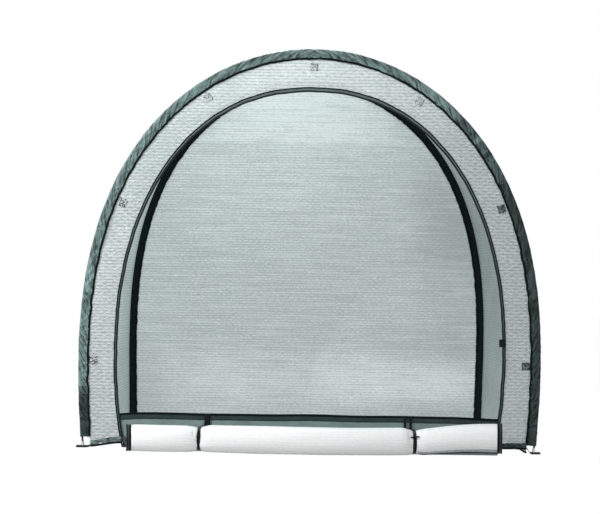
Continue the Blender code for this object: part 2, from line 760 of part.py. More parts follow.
def build_roll(roll, door, materials):
    """Rolled film with the strip of film that runs back to the foot of the threshold."""
    stations = {roll.left, roll.right}
    for tie in (TIE_SHIFT_X - TIE_OFFSET_X, TIE_SHIFT_X + TIE_OFFSET_X):
        for away in (0.0, 0.10, 0.25, 0.5, 0.75, 1.0):
            shift = ROLL_PINCH_FLAT / 2 + ROLL_PINCH_REACH * away
            stations.update((tie - shift, tie + shift))
    puff_edges = sorted(stations)
    for low, high in zip(puff_edges, puff_edges[1:]):
        pieces = int((high - low) / 0.09)
        stations.update(low + (high - low) * k / (pieces + 1) for k in range(1, pieces + 1))

    sill_reach = FRONT_Y + SILL_FRONT - GAP
    teeth_edge = -door.point(door.rise(GAP), -ZIP_TAPE_SIDE_WIDTH - 2 * TEETH_WIDTH).x
    tail_low = TIE_THICKNESS + 2 * GAP
    rings = []
    for x in sorted(stations):
        radius = roll.radius(x)
        ring = []
        for side in range(ROLL_SIDES - 2):
            degrees = -90 + 330 * side / (ROLL_SIDES - 3)
            point = roll.point(x, degrees, radius)
            point.z = max(point.z, 0.0)
            ring.append(point)
        tail_end = sill_reach if abs(x) < teeth_edge else roll.axis_y + 0.9 * radius
        root = max(roll.axis_z - radius, tail_low)
        ring.append(Vector((x, roll.axis_y + 0.75 * radius, max(root, tail_low) + FILM)))
        ring.append(Vector((x, tail_end, tail_low + FILM)))
        ring.append(Vector((x, tail_end, tail_low)))
        ring.append(Vector((x, roll.axis_y + 0.45 * radius, root)))
        rings.append(ring)
    origin = (ROLL_SHIFT_X, roll.axis_y, roll.axis_z)
    add_object("door_roll", solid_from_rings(rings), materials["film"], origin, smooth=True)

    for side, near, away in (("left", roll.left, -1), ("right", roll.right, 1)):
        radius = roll.radius(near) - DOOR_TAPE_INSET
        start = near + away * GAP
        centre = Vector((start, roll.axis_y, roll.axis_z))
        profile = [
            (radius, 0.0),
            (radius, DOOR_TAPE_WIDTH),
            (0.8 * radius, DOOR_TAPE_WIDTH),
            (0.25 * radius, 0.6 * DOOR_TAPE_WIDTH),
        ]
        rings = turned_rings(profile, 20, centre, (away, 0.0, 0.0))
        add_object(f"door_zip_tape_{side}", solid_from_rings(rings), materials["tape"], centre)


def build_ties(roll, loop_eye, materials):
    """Straps under the roll, elastic loops over it, and the toggles that join them."""
    inside = ROLL_PINCH_RADIUS + GAP
    strap_middle = inside + TIE_THICKNESS / 2
    cord_radius = ROLL_PINCH_RADIUS + 2 * GAP + TIE_THICKNESS + ELASTIC_DIAMETER / 2
    bar_radius = cord_radius + ELASTIC_DIAMETER / 2 + GAP + TOGGLE_DIAMETER / 2
    half_loop = TOGGLE_CORD_DIAMETER / 2 + GAP + ELASTIC_DIAMETER / 2
    ground = TIE_THICKNESS / 2
    slope = math.radians(TOGGLE_DEGREES)
    away = Vector((0.0, -math.cos(slope), math.sin(slope)))
    up = Vector((0.0, math.sin(slope), math.cos(slope)))
    aside = Vector((1.0, 0.0, 0.0))
    for side, sign, rest_turn in (("left", -1, TOGGLE_TURN_LEFT), ("right", 1, TOGGLE_TURN_RIGHT)):
        x = TIE_SHIFT_X + sign * TIE_OFFSET_X
        path = [(FRONT_Y + SILL_FRONT - GAP - TIE_THICKNESS, ground)]
        path.append((roll.axis_y + 0.75 * ROLL_PINCH_RADIUS, ground))
        for degrees in range(-80, TOGGLE_DEGREES + 16, 10):
            point = roll.point(x, degrees, strap_middle)
            path.append((point.y, point.z))
        rings = ribbon_rings(path, TIE_THICKNESS, x - TIE_WIDTH / 2, x + TIE_WIDTH / 2)
        strap = add_object(f"tie_strap_{side}", solid_from_rings(rings), materials["webbing"])

        eye_y, eye_z = loop_eye
        eye_away = math.hypot(eye_y - roll.axis_y, eye_z - roll.axis_z)
        eye_degrees = math.degrees(math.atan2(eye_z - roll.axis_z, roll.axis_y - eye_y))
        strands = []
        for hand in (-1, 1):
            eye_x = SILL_LOOP_SHIFT_X + sign * SILL_LOOP_X
            eye_x += hand * (SILL_LOOP_WIDTH / 2 + ELASTIC_DIAMETER)
            pin_x = x + hand * half_loop
            strand = []
            for step in range(ELASTIC_STEPS + 1):
                share = step / ELASTIC_STEPS
                ease = min(1.0, share / 0.6)
                spot = eye_x + (pin_x - eye_x) * ease * ease * (3 - 2 * ease)
                near = max(roll.radius(spot) + ELASTIC_DIAMETER, cord_radius)
                lift = (eye_away - near) * max(0.0, 1.0 - share / 0.35) ** 2
                degrees = eye_degrees + (TOGGLE_DEGREES - eye_degrees) * share
                strand.append(roll.point(spot, degrees, near + lift))
            strands.append(strand)
        pin = roll.point(x, TOGGLE_DEGREES, cord_radius)
        bend = []
        for degrees in range(-150, -29, 30):
            angle = math.radians(degrees)
            bend.append(pin + half_loop * (math.cos(angle) * aside + math.sin(angle) * up))
        route = strands[0] + bend + strands[1][::-1]
        add_cord(f"tie_elastic_{side}", route, ELASTIC_DIAMETER, materials["elastic"])

        centre = roll.point(x, TOGGLE_DEGREES, bar_radius)
        end = TOGGLE_LENGTH / 2
        tip = TOGGLE_DIAMETER / 2
        profile = [
            (0.35 * tip, -end),
            (0.8 * tip, -end + 0.3 * tip),
            (tip, -end + tip),
            (tip, end - tip),
            (0.8 * tip, end - 0.3 * tip),
            (0.35 * tip, end),
        ]
        turn = math.radians(rest_turn)
        rings = turned_rings(profile, 12, centre, math.cos(turn) * aside + math.sin(turn) * up)
        toggle = add_object(
            f"toggle_{side}", solid_from_rings(rings), materials["plastic"], centre, smooth=True
        )
        hole = [(TOGGLE_CORD_DIAMETER / 2 + GAP, d) for d in (-2 * tip, 2 * tip)]
        rings = turned_rings(hole, 12, centre, away)
        cutter = add_object(f"toggle_hole_{side}", solid_from_rings(rings), materials["plastic"], centre)
        combine(toggle, cutter, "DIFFERENCE")

        front = roll.point(x, TOGGLE_DEGREES, strap_middle)
        length = bar_radius - strap_middle + tip + GAP
        cord = 0.5 * TOGGLE_CORD_DIAMETER
        knot = 0.5 * TOGGLE_KNOT_DIAMETER
        profile = [
            (cord, 0.0),
            (cord, length),
            (knot, length + TOGGLE_KNOT_CHAMFER),
            (knot, length + TOGGLE_KNOT_LENGTH - TOGGLE_KNOT_CHAMFER),
            (knot - TOGGLE_KNOT_CHAMFER, length + TOGGLE_KNOT_LENGTH),
        ]
        rings = turned_rings(profile, 10, front, away)
        knot_cord = add_object(
            f"toggle_knot_{side}", solid_from_rings(rings), materials["webbing"], front
        )
        combine(strap, knot_cord, "UNION")


def add_cord(name, route, diameter, material):
    """An endless thin round cord through the points of its route."""
    curve = bpy.data.curves.new(name, "CURVE")
    curve.dimensions = "3D"
    curve.bevel_depth = diameter / 2
    curve.bevel_resolution = 1
    spline = curve.splines.new("POLY")
    spline.use_cyclic_u = True
    spline.points.add(len(route) - 1)
    for spot, point in zip(spline.points, route):
        spot.co = (*point, 1.0)
    curve.materials.append(material)
    cord = bpy.data.objects.new(name, curve)
    bpy.context.scene.collection.objects.link(cord)
    return cord


def combine(thing, tool, operation):
    """Join a hidden tool to an object with UNION, or cut it out with DIFFERENCE."""
    tool.hide_render = True
    tool.display_type = "WIRE"
    boolean = thing.modifiers.new(tool.name, "BOOLEAN")
    boolean.operation = operation
    boolean.solver = "EXACT"
    boolean.object = tool


def build_corner_straps(hoops, materials):
    """Webbing straps on the ground, on the outside, with an eyelet for the pin of each tip."""
    thick = CORNER_STRAP_THICKNESS
    bore = EYELET_BORE_DIAMETER / 2
    barrel = bore + EYELET_WALL
    flange = EYELET_FLANGE_DIAMETER / 2
    flange_low = thick + GAP
    profile = [
        (bore, GAP),
        (barrel, GAP),
        (barrel, flange_low),
        (flange, flange_low),
        (flange, flange_low + EYELET_WALL),
        (bore, flange_low + EYELET_WALL),
    ]
    for prefix, hoop, outside in hoops:
        edge = hoop.point(hoop.rise(FILM_BOTTOM, WALL_EDGE), WALL_EDGE).x - GAP
        foot = hoop.corners[0].x
        for side, sign in (("left", 1), ("right", -1)):
            outer_depth = outside * (CORNER_STRAP_WIDTH - SLEEVE_RADIUS)
            inner_depth = -outside * SLEEVE_RADIUS
            low_y, high_y = sorted((hoop.y + outer_depth, hoop.y + inner_depth))
            xs = sorted((sign * edge, sign * (foot - CORNER_STRAP_REACH)))
            rings = box_rings((xs[0], low_y, 0.0), (xs[1], high_y, thick))
            centre = Vector((sign * foot, hoop.y, 0.0))
            name = f"{prefix}_corner_strap_{side}"
            strap = add_object(name, solid_from_rings(rings), materials["webbing"], centre)
            hole = [(barrel + GAP, -thick), (barrel + GAP, 2 * thick)]
            cutter_rings = turned_rings(hole, 16, centre, (0.0, 0.0, 1.0))
            cutter = add_object(
                f"{name}_hole", solid_from_rings(cutter_rings), materials["webbing"], centre
            )
            combine(strap, cutter, "DIFFERENCE")
            rings = turned_rings(profile, 16, centre, (0.0, 0.0, 1.0))
            mesh_builder = solid_from_rings(rings, tube_closes=True)
            name = f"{prefix}_eyelet_{side}"
            add_object(name, mesh_builder, materials["metal"], centre, smooth=True)


def centre_on_origin():
    """Carry every piece on one empty that puts the middle of the tent over the origin."""
    bpy.context.view_layer.update()
    shown = [t for t in bpy.data.objects if t.type == "MESH" and not t.hide_render]
    graph = bpy.context.evaluated_depsgraph_get()
    depths = []
    for thing in shown:
        solid = thing.evaluated_get(graph)
        depths += [(solid.matrix_world @ Vector(corner)).y for corner in solid.bound_box]
    base = bpy.data.objects.new("tent_base", None)
    bpy.context.scene.collection.objects.link(base)
    for thing in bpy.data.objects:
        if thing.parent is None and thing is not base:
            thing.parent = base
    base.location.y = -(min(depths) + max(depths)) / 2
    bpy.context.view_layer.update()


def main():
    for thing in list(bpy.data.objects):
        bpy.data.objects.remove(thing, do_unlink=True)

    materials = {
        "rod": make_material("fibreglass_rod", (0.015, 0.016, 0.017), 0.45),
        "metal": make_material("zinc_metal", (0.55, 0.56, 0.57), 0.35, 1.0),
        "sleeve": make_material("grey_green_polyester", (0.13, 0.17, 0.165), 0.65),
        "tape": make_material("dark_binding_tape", (0.012, 0.018, 0.018), 0.8),
        "film": make_material("reinforced_film", (0.72, 0.78, 0.77), 0.35),
        "hem": make_material("hem_polyester", (0.10, 0.13, 0.13), 0.7),
        "webbing": make_material("black_webbing", (0.010, 0.014, 0.014), 0.85),
        "plastic": make_material("black_plastic", (0.012, 0.014, 0.015), 0.4),
        "elastic": make_material("black_elastic_cord", (0.012, 0.015, 0.015), 0.8),
    }

    front = Arch(hoop_points(FRONT_ROD_LENGTH, FRONT_FOOT_SPAN, FRONT_BEND_DEPTH), FRONT_Y)
    rear = Arch(hoop_points(REAR_ROD_LENGTH, REAR_FOOT_SPAN, REAR_BEND_DEPTH), REAR_Y)
    door = Arch(door_points(front), FRONT_Y)
    roll = Roll(door)

    build_hoop("front", front, materials)
    build_hoop("rear", rear, materials)
    build_sleeve("front", front, -1, materials)
    build_sleeve("rear", rear, 1, materials)
    build_canopy(front, rear, materials)
    build_front_wall(front, door, materials)
    build_rear_wall(rear, materials)
    build_hems(front, rear, door, materials)
    build_zip(door, materials)
    build_sliders(door, materials)
    loop_eye = build_sill(door, materials)
    build_roll(roll, door, materials)
    build_ties(roll, loop_eye, materials)
    build_corner_straps((("front", front, -1), ("rear", rear, 1)), materials)
    centre_on_origin()


main()
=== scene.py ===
"""Looks of a frost protection tent: film cover, cloth sleeves, zip, rolled door and its ties.

The tent's construction is loaded as a fixed frame, and every sewn, moulded or rolled piece is
built here round it. All sizes are in metres. +X is to the right seen from the front, +Y is to
the rear and +Z is up.
"""

from __future__ import annotations

import logging
import math
from collections.abc import Sequence
from dataclasses import dataclass
from enum import Enum

import bpy
import numpy as np
from mathutils import Matrix, Vector

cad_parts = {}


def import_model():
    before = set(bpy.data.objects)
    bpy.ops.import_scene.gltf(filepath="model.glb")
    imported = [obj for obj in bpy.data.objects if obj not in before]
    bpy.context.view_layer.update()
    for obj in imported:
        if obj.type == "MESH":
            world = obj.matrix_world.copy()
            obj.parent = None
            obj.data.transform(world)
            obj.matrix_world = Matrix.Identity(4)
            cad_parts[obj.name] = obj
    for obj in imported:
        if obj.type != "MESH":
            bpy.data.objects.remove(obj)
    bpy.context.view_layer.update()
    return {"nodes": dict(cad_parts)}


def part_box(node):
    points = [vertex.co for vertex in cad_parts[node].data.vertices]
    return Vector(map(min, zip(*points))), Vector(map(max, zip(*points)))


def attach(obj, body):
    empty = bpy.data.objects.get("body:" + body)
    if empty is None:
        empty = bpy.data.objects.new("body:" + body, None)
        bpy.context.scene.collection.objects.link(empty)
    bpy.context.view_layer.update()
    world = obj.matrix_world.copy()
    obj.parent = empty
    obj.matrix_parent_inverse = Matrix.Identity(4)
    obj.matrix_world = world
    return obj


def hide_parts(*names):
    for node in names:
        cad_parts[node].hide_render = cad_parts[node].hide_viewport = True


log = logging.getLogger("tent")

Points = np.ndarray
Colour = tuple[float, float, float]
Tree = bpy.types.NodeTree
Socket = bpy.types.NodeSocket

RIGHTWARD = np.array((1.0, 0.0, 0.0))
FORWARD = np.array((0.0, -1.0, 0.0))
UPWARD = np.array((0.0, 0.0, 1.0))

# Length, width and height of a stitch, and the spacing of stitches
STITCH = (0.0038, 0.0007, 0.0004)
STITCH_PITCH = 0.0055

# Places of the threshold's left and right loops across the tent
LOOP_PLACES = (-0.4405, 0.431)


class Coordinates(Enum):
    """Where a finish takes its texture coordinates from."""

    SEWN = "UV"
    SOLID = "Object"


class Side(Enum):
    """Left or right of the tent, seen from the front, with its sign along X."""

    LEFT = -1
    RIGHT = 1

    @property
    def label(self) -> str:
        """Lower-case name used in piece names."""
        return self.name.lower()

    def pick(self, left: float, right: float) -> float:
        """One of two values, by side."""
        return left if self is Side.LEFT else right


# Shader graphs


class Graph:
    """Adds and links shader nodes in one tree."""

    def __init__(self, tree: Tree) -> None:
        """Start on the node tree of a material, the world or a group."""
        self.tree = tree

    def node(self, kind: str, *values: object, **settings: object) -> bpy.types.Node:
        """Add a node.

        Args:
            kind: Blender's identifier of the node.
            *values: Sockets or constants for its first inputs.
            **settings: Properties to set on it.

        Returns:
            The new node.
        """
        made = self.tree.nodes.new(kind)
        for name, value in settings.items():
            setattr(made, name, value)
        for socket, value in zip(made.inputs, values):
            self.put(socket, value)
        return made

    def put(self, socket: Socket, value: object) -> None:
        """Link a socket to another, or set its constant.

        Args:
            socket: Input socket.
            value: Output socket, number or colour.
        """
        if isinstance(value, Socket):
            self.tree.links.new(value, socket)
        elif isinstance(value, tuple) and socket.type == "RGBA":
            socket.default_value = (*value[:3], 1.0)
        else:
            socket.default_value = value

    def math(self, operation: str, *values: object) -> Socket:
        """Output of a Math node, from sockets or numbers."""
        return self.node("ShaderNodeMath", *values, operation=operation).outputs[0]

    def plus(self, first: object, second: object) -> Socket:
        """Sum of two sockets or numbers."""
        return self.math("ADD", first, second)

    def minus(self, first: object, second: object) -> Socket:
        """Difference of two sockets or numbers."""
        return self.math("SUBTRACT", first, second)

    def times(self, first: object, second: object) -> Socket:
        """Product of two sockets or numbers."""
        return self.math("MULTIPLY", first, second)

    def mix(self, factor: object, first: object, second: object) -> Socket:
        """Mix two colours.

        Args:
            factor: Share of the second.
            first: Colour at 0.
            second: Colour at 1.

        Returns:
            The mixed colour's socket.
        """
        made = self.node("ShaderNodeMix", factor, data_type="RGBA")
        self.put(made.inputs[6], first)
        self.put(made.inputs[7], second)
        return made.outputs[2]

    def span(
        self, value: object, low: float, high: float, to_low: float = 0.0, to_high: float = 1.0
    ) -> Socket:
        """Value mapped from the range of low to high onto that of to_low to to_high."""
        return self.node("ShaderNodeMapRange", value, low, high, to_low, to_high).outputs[0]

    def noise(self, vector: object, scale: object, detail: float = 2.0) -> Socket:
        """Noise with as many features in a metre as its scale says."""
        return self.node("ShaderNodeTexNoise", vector, 0.0, scale, detail).outputs["Fac"]

    def stretched(self, vector: object, scale: Sequence[float]) -> Socket:
        """Texture coordinates scaled by axis."""
        return self.node("ShaderNodeMapping", vector, (0.0,) * 3, (0.0,) * 3, scale).outputs[0]

    def group(self, tree: Tree, **inputs: object) -> bpy.types.NodeOutputs:
        """Place a node group.

        Args:
            tree: The group.
            **inputs: Its inputs by name.

        Returns:
            Its outputs.
        """
        made = self.node("ShaderNodeGroup", node_tree=tree)
        for name, value in inputs.items():
            self.put(made.inputs[name], value)
        return made.outputs


class GroupGraph(Graph):
    """A node group in the making, with a Vector input, number inputs and number outputs."""

    def __init__(self, name: str, inputs: dict[str, float], *outputs: str) -> None:
        """Make the empty group.

        Args:
            name: Name of the group.
            inputs: Names and defaults of its number inputs.
            *outputs: Names of its outputs.
        """
        super().__init__(bpy.data.node_groups.new(name, "ShaderNodeTree"))
        sockets = self.tree.interface
        sockets.new_socket(name="Vector", in_out="INPUT", socket_type="NodeSocketVector")
        for label, value in inputs.items():
            socket = sockets.new_socket(name=label, in_out="INPUT", socket_type="NodeSocketFloat")
            socket.default_value = value
        for label in outputs:
            sockets.new_socket(name=label, in_out="OUTPUT", socket_type="NodeSocketFloat")
        self.given = self.node("NodeGroupInput").outputs
        self.place = self.given["Vector"]
        self.result = self.node("NodeGroupOutput")

    def split(self) -> bpy.types.NodeOutputs:
        """Parts of the texture coordinates."""
        return self.node("ShaderNodeSeparateXYZ", self.place).outputs

    def give(self, **values: object) -> Tree:
        """Link the group's outputs.

        Args:
            **values: Sockets by output.

        Returns:
            The finished group.
        """
        for name, value in values.items():
            self.put(self.result.inputs[name], value)
        return self.tree


class Effects:
    """Shader node groups that several finishes share."""

    def __init__(self) -> None:
        """Build every group once."""
        self.weave = self.build_weave()
        self.mottle = self.build_mottle()
        self.bubbles = self.build_bubbles()
        self.scratches = self.build_scratches()
        self.folds = self.build_folds()
        self.patch = self.build_patch()

    @staticmethod
    def build_weave() -> Tree:
        """Plain weave of crossing yarns.

        Returns:
            Group with the yarns' Height and the Gap between them.
        """
        graph = GroupGraph("plain_weave", {"Pitch": 0.001, "Slub": 0.3}, "Height", "Gap")
        parts = graph.split()
        turn = graph.math("DIVIDE", 2.0 * math.pi, graph.given["Pitch"])
        warp = graph.math("SINE", graph.times(parts[0], turn))
        weft = graph.math("SINE", graph.times(parts[1], turn))
        cross = graph.times(warp, weft)
        slub = graph.noise(graph.stretched(graph.place, (40.0, 900.0, 40.0)), 1.0, 1.0)
        uneven = graph.times(graph.minus(slub, 0.5), graph.given["Slub"])
        gap = graph.span(graph.math("ABSOLUTE", cross), 0.0, 0.25, 1.0, 0.0)
        return graph.give(Height=graph.plus(graph.span(cross, -1, 1), uneven), Gap=gap)

    @staticmethod
    def build_mottle() -> Tree:
        """Uneven tone at two scales, as of handling, dust and fading.

        Returns:
            Group with a Tone from 0 to 1 and a finer Grain.
        """
        graph = GroupGraph("mottle", {"Broad": 6.0, "Fine": 180.0}, "Tone", "Grain")
        broad = graph.noise(graph.place, graph.given["Broad"], 3.0)
        fine = graph.noise(graph.place, graph.given["Fine"])
        return graph.give(Tone=graph.span(broad, 0.3, 0.7), Grain=graph.span(fine, 0.25, 0.75))

    @staticmethod
    def build_bubbles() -> Tree:
        """Reinforced bubble film: rows of dashes, bubbles and diagonal threads.

        Returns:
            Group with Height, Thread, Rib and Glint; Rib and Glint carry painted highlights and shade.
        """
        sizes = {"Row": 0.0136, "Dash": 0.031, "Mesh": 0.024, "Bubble": 0.0135}
        graph = GroupGraph("bubble_film", sizes, "Height", "Thread", "Rib", "Glint")
        place, given = graph.place, graph.given
        across, up = graph.split()[:2]
        drift = graph.noise(graph.stretched(place, (1.5, 4.0, 1.0)), 1.0)
        up = graph.plus(up, graph.times(drift, 0.01))

        height = graph.math("DIVIDE", up, given["Row"])
        row, level = graph.math("FLOOR", height), graph.math("FRACT", height)
        uneven = graph.node("ShaderNodeTexWhiteNoise", noise_dimensions="1D")
        graph.put(uneven.inputs["W"], row)
        start = graph.plus(graph.times(row, 0.5), graph.times(uneven.outputs[0], 0.3))
        ahead = graph.plus(graph.math("DIVIDE", across, given["Dash"]), start)
        cell, part = graph.math("FLOOR", ahead), graph.math("FRACT", ahead)
        spot = graph.node("ShaderNodeCombineXYZ", cell, row).outputs[0]
        chance = graph.node("ShaderNodeTexWhiteNoise", spot, noise_dimensions="2D").outputs[0]
        length = graph.span(graph.math("ABSOLUTE", graph.minus(part, 0.5)), 0.26, 0.46, 1.0, 0.0)
        from_line = graph.math("ABSOLUTE", graph.minus(level, 0.5))
        # bright is a painted highlight on each dash; dim below is painted shade between the rows
        bright = graph.times(graph.span(from_line, 0.06, 0.34, 1.0, 0.0), length)
        bright = graph.times(bright, graph.span(chance, 0.0, 1.0, 0.25, 1.15))
        even_row = graph.math("PINGPONG", row, 1.0)
        dim = graph.times(graph.span(from_line, 0.26, 0.5), graph.span(even_row, 0, 1, 0.55, 1.0))
        streak = graph.noise(graph.stretched(place, (60.0, 150.0, 1.0)), 1.0, 1.0)
        rib = graph.minus(bright, graph.times(dim, 0.75))
        rib = graph.plus(rib, graph.times(graph.minus(streak, 0.5), 2.2))

        narrow = graph.stretched(place, (0.62, 1.0, 1.0))
        density = graph.math("DIVIDE", 1.0, given["Bubble"])
        cells = graph.node("ShaderNodeTexVoronoi", narrow, 0.0, density, feature="F1").outputs
        dome = graph.span(cells["Distance"], 0.0, 0.55, 1.0, 0.0)
        # glint: painted glints on bubbles picked by chance, stronger on the bright dashes
        bead = graph.times(dome, graph.span(graph.minus(bright, dim), -0.3, 0.6, 0.25, 1.0))
        tint = graph.node("ShaderNodeSeparateColor", cells["Color"]).outputs[0]
        glint = graph.times(bead, graph.span(tint, 0.35, 0.9))

        threads = []
        for slope in (0.577, -0.577):
            line = graph.plus(graph.times(across, slope), up)
            wrapped = graph.math("PINGPONG", line, graph.times(given["Mesh"], 0.5))
            share = graph.math("DIVIDE", wrapped, given["Mesh"])
            threads.append(graph.span(share, 0.0, 0.1, 1.0, 0.0))
        thread = graph.math("MAXIMUM", *threads)
        height = graph.plus(graph.times(dome, 0.4), graph.times(thread, 0.25))
        height = graph.plus(height, graph.times(rib, 0.55))
        return graph.give(Height=height, Thread=thread, Rib=graph.span(rib, -0.75, 0.95), Glint=glint)

    @staticmethod
    def build_patch() -> Tree:
        """Soft oval patch where light falls on the film, or misses it.

        Returns:
            Group with a Mask.
        """
        sizes = {"Across": 0.0, "Up": 0.0, "Wide": 0.3, "Tall": 0.1, "Floor": -10.0}
        graph = GroupGraph("light_patch", sizes, "Mask")
        given = graph.given
        across, up = graph.split()[:2]
        away = []
        for socket, middle, reach in ((across, "Across", "Wide"), (up, "Up", "Tall")):
            share = graph.math("DIVIDE", graph.minus(socket, given[middle]), given[reach])
            away.append(graph.times(share, share))
        drift = graph.minus(graph.noise(graph.place, 7.0, 3.0), 0.5)
        size = graph.plus(graph.math("SQRT", graph.plus(*away)), graph.times(drift, 1.1))
        above = graph.span(graph.minus(up, given["Floor"]), -0.003, 0.003)
        return graph.give(Mask=graph.times(graph.span(size, 0.1, 1.1, 1.0, 0.0), above))

    @staticmethod
    def build_folds() -> Tree:
        """Long soft folds that run at an angle to the first texture axis.

        Returns:
            Group with a Fold height and a Shade from 0 in the folds to 1 on their ridges.
        """
        sizes = {"Angle": 0.45, "Along": 16.0, "Across": 120.0}
        graph = GroupGraph("fabric_folds", sizes, "Fold", "Shade")
        place, given = graph.place, graph.given
        angle = graph.plus(given["Angle"], graph.span(graph.noise(place, 14.0, 1.0), 0.3, 0.7, -0.35, 0.35))
        turned = graph.node("ShaderNodeVectorRotate", place, rotation_type="Z_AXIS")
        graph.put(turned.inputs["Angle"], given["Angle"])
        scale = graph.node("ShaderNodeCombineXYZ", given["Along"], given["Across"], 1.0)
        sized = graph.node("ShaderNodeVectorMath", turned.outputs[0], scale.outputs[0], operation="MULTIPLY")
        shift = graph.node("ShaderNodeVectorMath", sized.outputs[0], graph.times(angle, 1.5), operation="ADD")
        broad, fine = (graph.noise(shift.outputs[0], size, 1.0) for size in (1.0, 2.3))
        ridge = graph.math("ABSOLUTE", graph.minus(fine, 0.5))
        fold = graph.minus(broad, graph.times(ridge, 0.6))
        return graph.give(Fold=fold, Shade=graph.span(fold, 0.24, 0.58))

    @staticmethod
    def build_scratches() -> Tree:
        """Fine scratches along one direction.

        Returns:
            Group with a Scratch value.
        """
        graph = GroupGraph("fine_scratches", {"Density": 900.0}, "Scratch")
        long_way = graph.stretched(graph.place, (1.0, 1.0, 0.06))
        return graph.give(Scratch=graph.noise(long_way, graph.given["Density"], 3.0))


class Surface(Graph):
    """Graph of one material, with its shader and texture coordinates."""

    def __init__(self, finish: Finish) -> None:
        """Make the material.

        Args:
            finish: Finish that it is for.
        """
        self.material = bpy.data.materials.new(finish.name)
        self.material.use_nodes = True
        super().__init__(self.material.node_tree)
        self.shader = self.tree.nodes["Principled BSDF"]
        self.place = self.node("ShaderNodeTexCoord").outputs[finish.coordinates.value]

    def feed(self, name: str, value: object) -> None:
        """Link or set one of the shader's inputs."""
        self.put(self.shader.inputs[name], value)

    def bump(self, height: object, depth: float, strength: float) -> None:
        """Feed a height through a Bump node into the shader's normal.

        Args:
            height: Height socket.
            depth: Height of 1 in metres.
            strength: Strength of the bump.
        """
        made = self.node("ShaderNodeBump", strength, depth)
        self.put(made.inputs["Height"], height)
        self.feed("Normal", made.outputs[0])


# Finishes


@dataclass(frozen=True)
class Finish:
    """A surface finish, made into a material by build."""

    name: str
    colour: Colour
    roughness: float
    specular: float = 0.5
    coordinates: Coordinates = Coordinates.SEWN

    def tone(self, factor: float) -> Colour:
        """The finish's colour, made darker or lighter."""
        return tuple(min(1.0, channel * factor) for channel in self.colour)

    def build(self, effects: Effects) -> bpy.types.Material:
        """Make the material.

        Args:
            effects: Shared node groups.

        Returns:
            The material.
        """
        graph = Surface(self)
        graph.feed("Specular IOR Level", self.specular)
        self.dress(graph, effects)
        return graph.material

    def dress(self, graph: Surface, effects: Effects) -> None:
        """Add the nodes of this kind of finish."""
        raise NotImplementedError


@dataclass(frozen=True)
class Cloth(Finish):
    """Woven cloth, tape or webbing."""

    pitch: float = 0.0009
    relief: float = 0.00012
    sheen: float = 0.1
    slub: float = 0.35

    def dress(self, graph: Surface, effects: Effects) -> None:
        """Lay the weave on the surface.

        Args:
            graph: The material's graph.
            effects: Shared node groups.
        """
        weave = graph.group(effects.weave, Vector=graph.place, Pitch=self.pitch, Slub=self.slub)
        mottle = graph.group(effects.mottle, Vector=graph.place, Broad=9.0, Fine=260.0)
        base = graph.mix(mottle["Tone"], self.tone(0.78), self.tone(1.25))
        # yarn gaps darkened: painted shade between the yarns
        graph.feed("Base Color", graph.mix(graph.times(weave["Gap"], 0.45), base, self.tone(0.45)))
        rough = graph.span(mottle["Grain"], 0, 1, self.roughness - 0.06, self.roughness + 0.06)
        graph.feed("Roughness", rough)
        graph.feed("Sheen Weight", self.sheen)
        graph.feed("Sheen Roughness", 0.5)
        graph.bump(weave["Height"], self.relief, 0.7)


@dataclass(frozen=True)
class Folded(Finish):
    """Coated cloth or film gathered into soft folds, with painted shade and highlights on them."""

    angle: float = 0.45
    along: float = 16.0
    across: float = 120.0
    dark: float = 0.35
    light: float = 2.0
    relief: float = 0.004
    pitch: float = 0.0008

    def dress(self, graph: Surface, effects: Effects) -> None:
        """Lay the folds on the surface.

        Args:
            graph: The material's graph.
            effects: Shared node groups.
        """
        sizes = {"Angle": self.angle, "Along": self.along, "Across": self.across}
        folds = graph.group(effects.folds, Vector=graph.place, **sizes)
        weave = graph.group(effects.weave, Vector=graph.place, Pitch=self.pitch, Slub=0.3)
        mottle = graph.group(effects.mottle, Vector=graph.place, Broad=7.0, Fine=240.0)
        # painted shade in the folds and painted highlights on their ridges
        base = graph.mix(folds["Shade"], self.tone(self.dark), self.tone(self.light))
        base = graph.mix(graph.times(mottle["Tone"], 0.35), base, self.colour)
        # yarn gaps darkened: painted shade between the yarns
        graph.feed("Base Color", graph.mix(graph.times(weave["Gap"], 0.25), base, self.tone(0.4)))
        rough = graph.span(mottle["Grain"], 0, 1, self.roughness - 0.06, self.roughness + 0.08)
        graph.feed("Roughness", rough)
        fine = graph.times(weave["Height"], 0.02)
        graph.bump(graph.plus(folds["Fold"], fine), self.relief, 0.9)


@dataclass(frozen=True)
class LightPatch:
    """Where the film looks lighter, or darker if its amount is below 0."""

    across: float
    up: float
    wide: float
    tall: float
    amount: float
    floor: float = -10.0


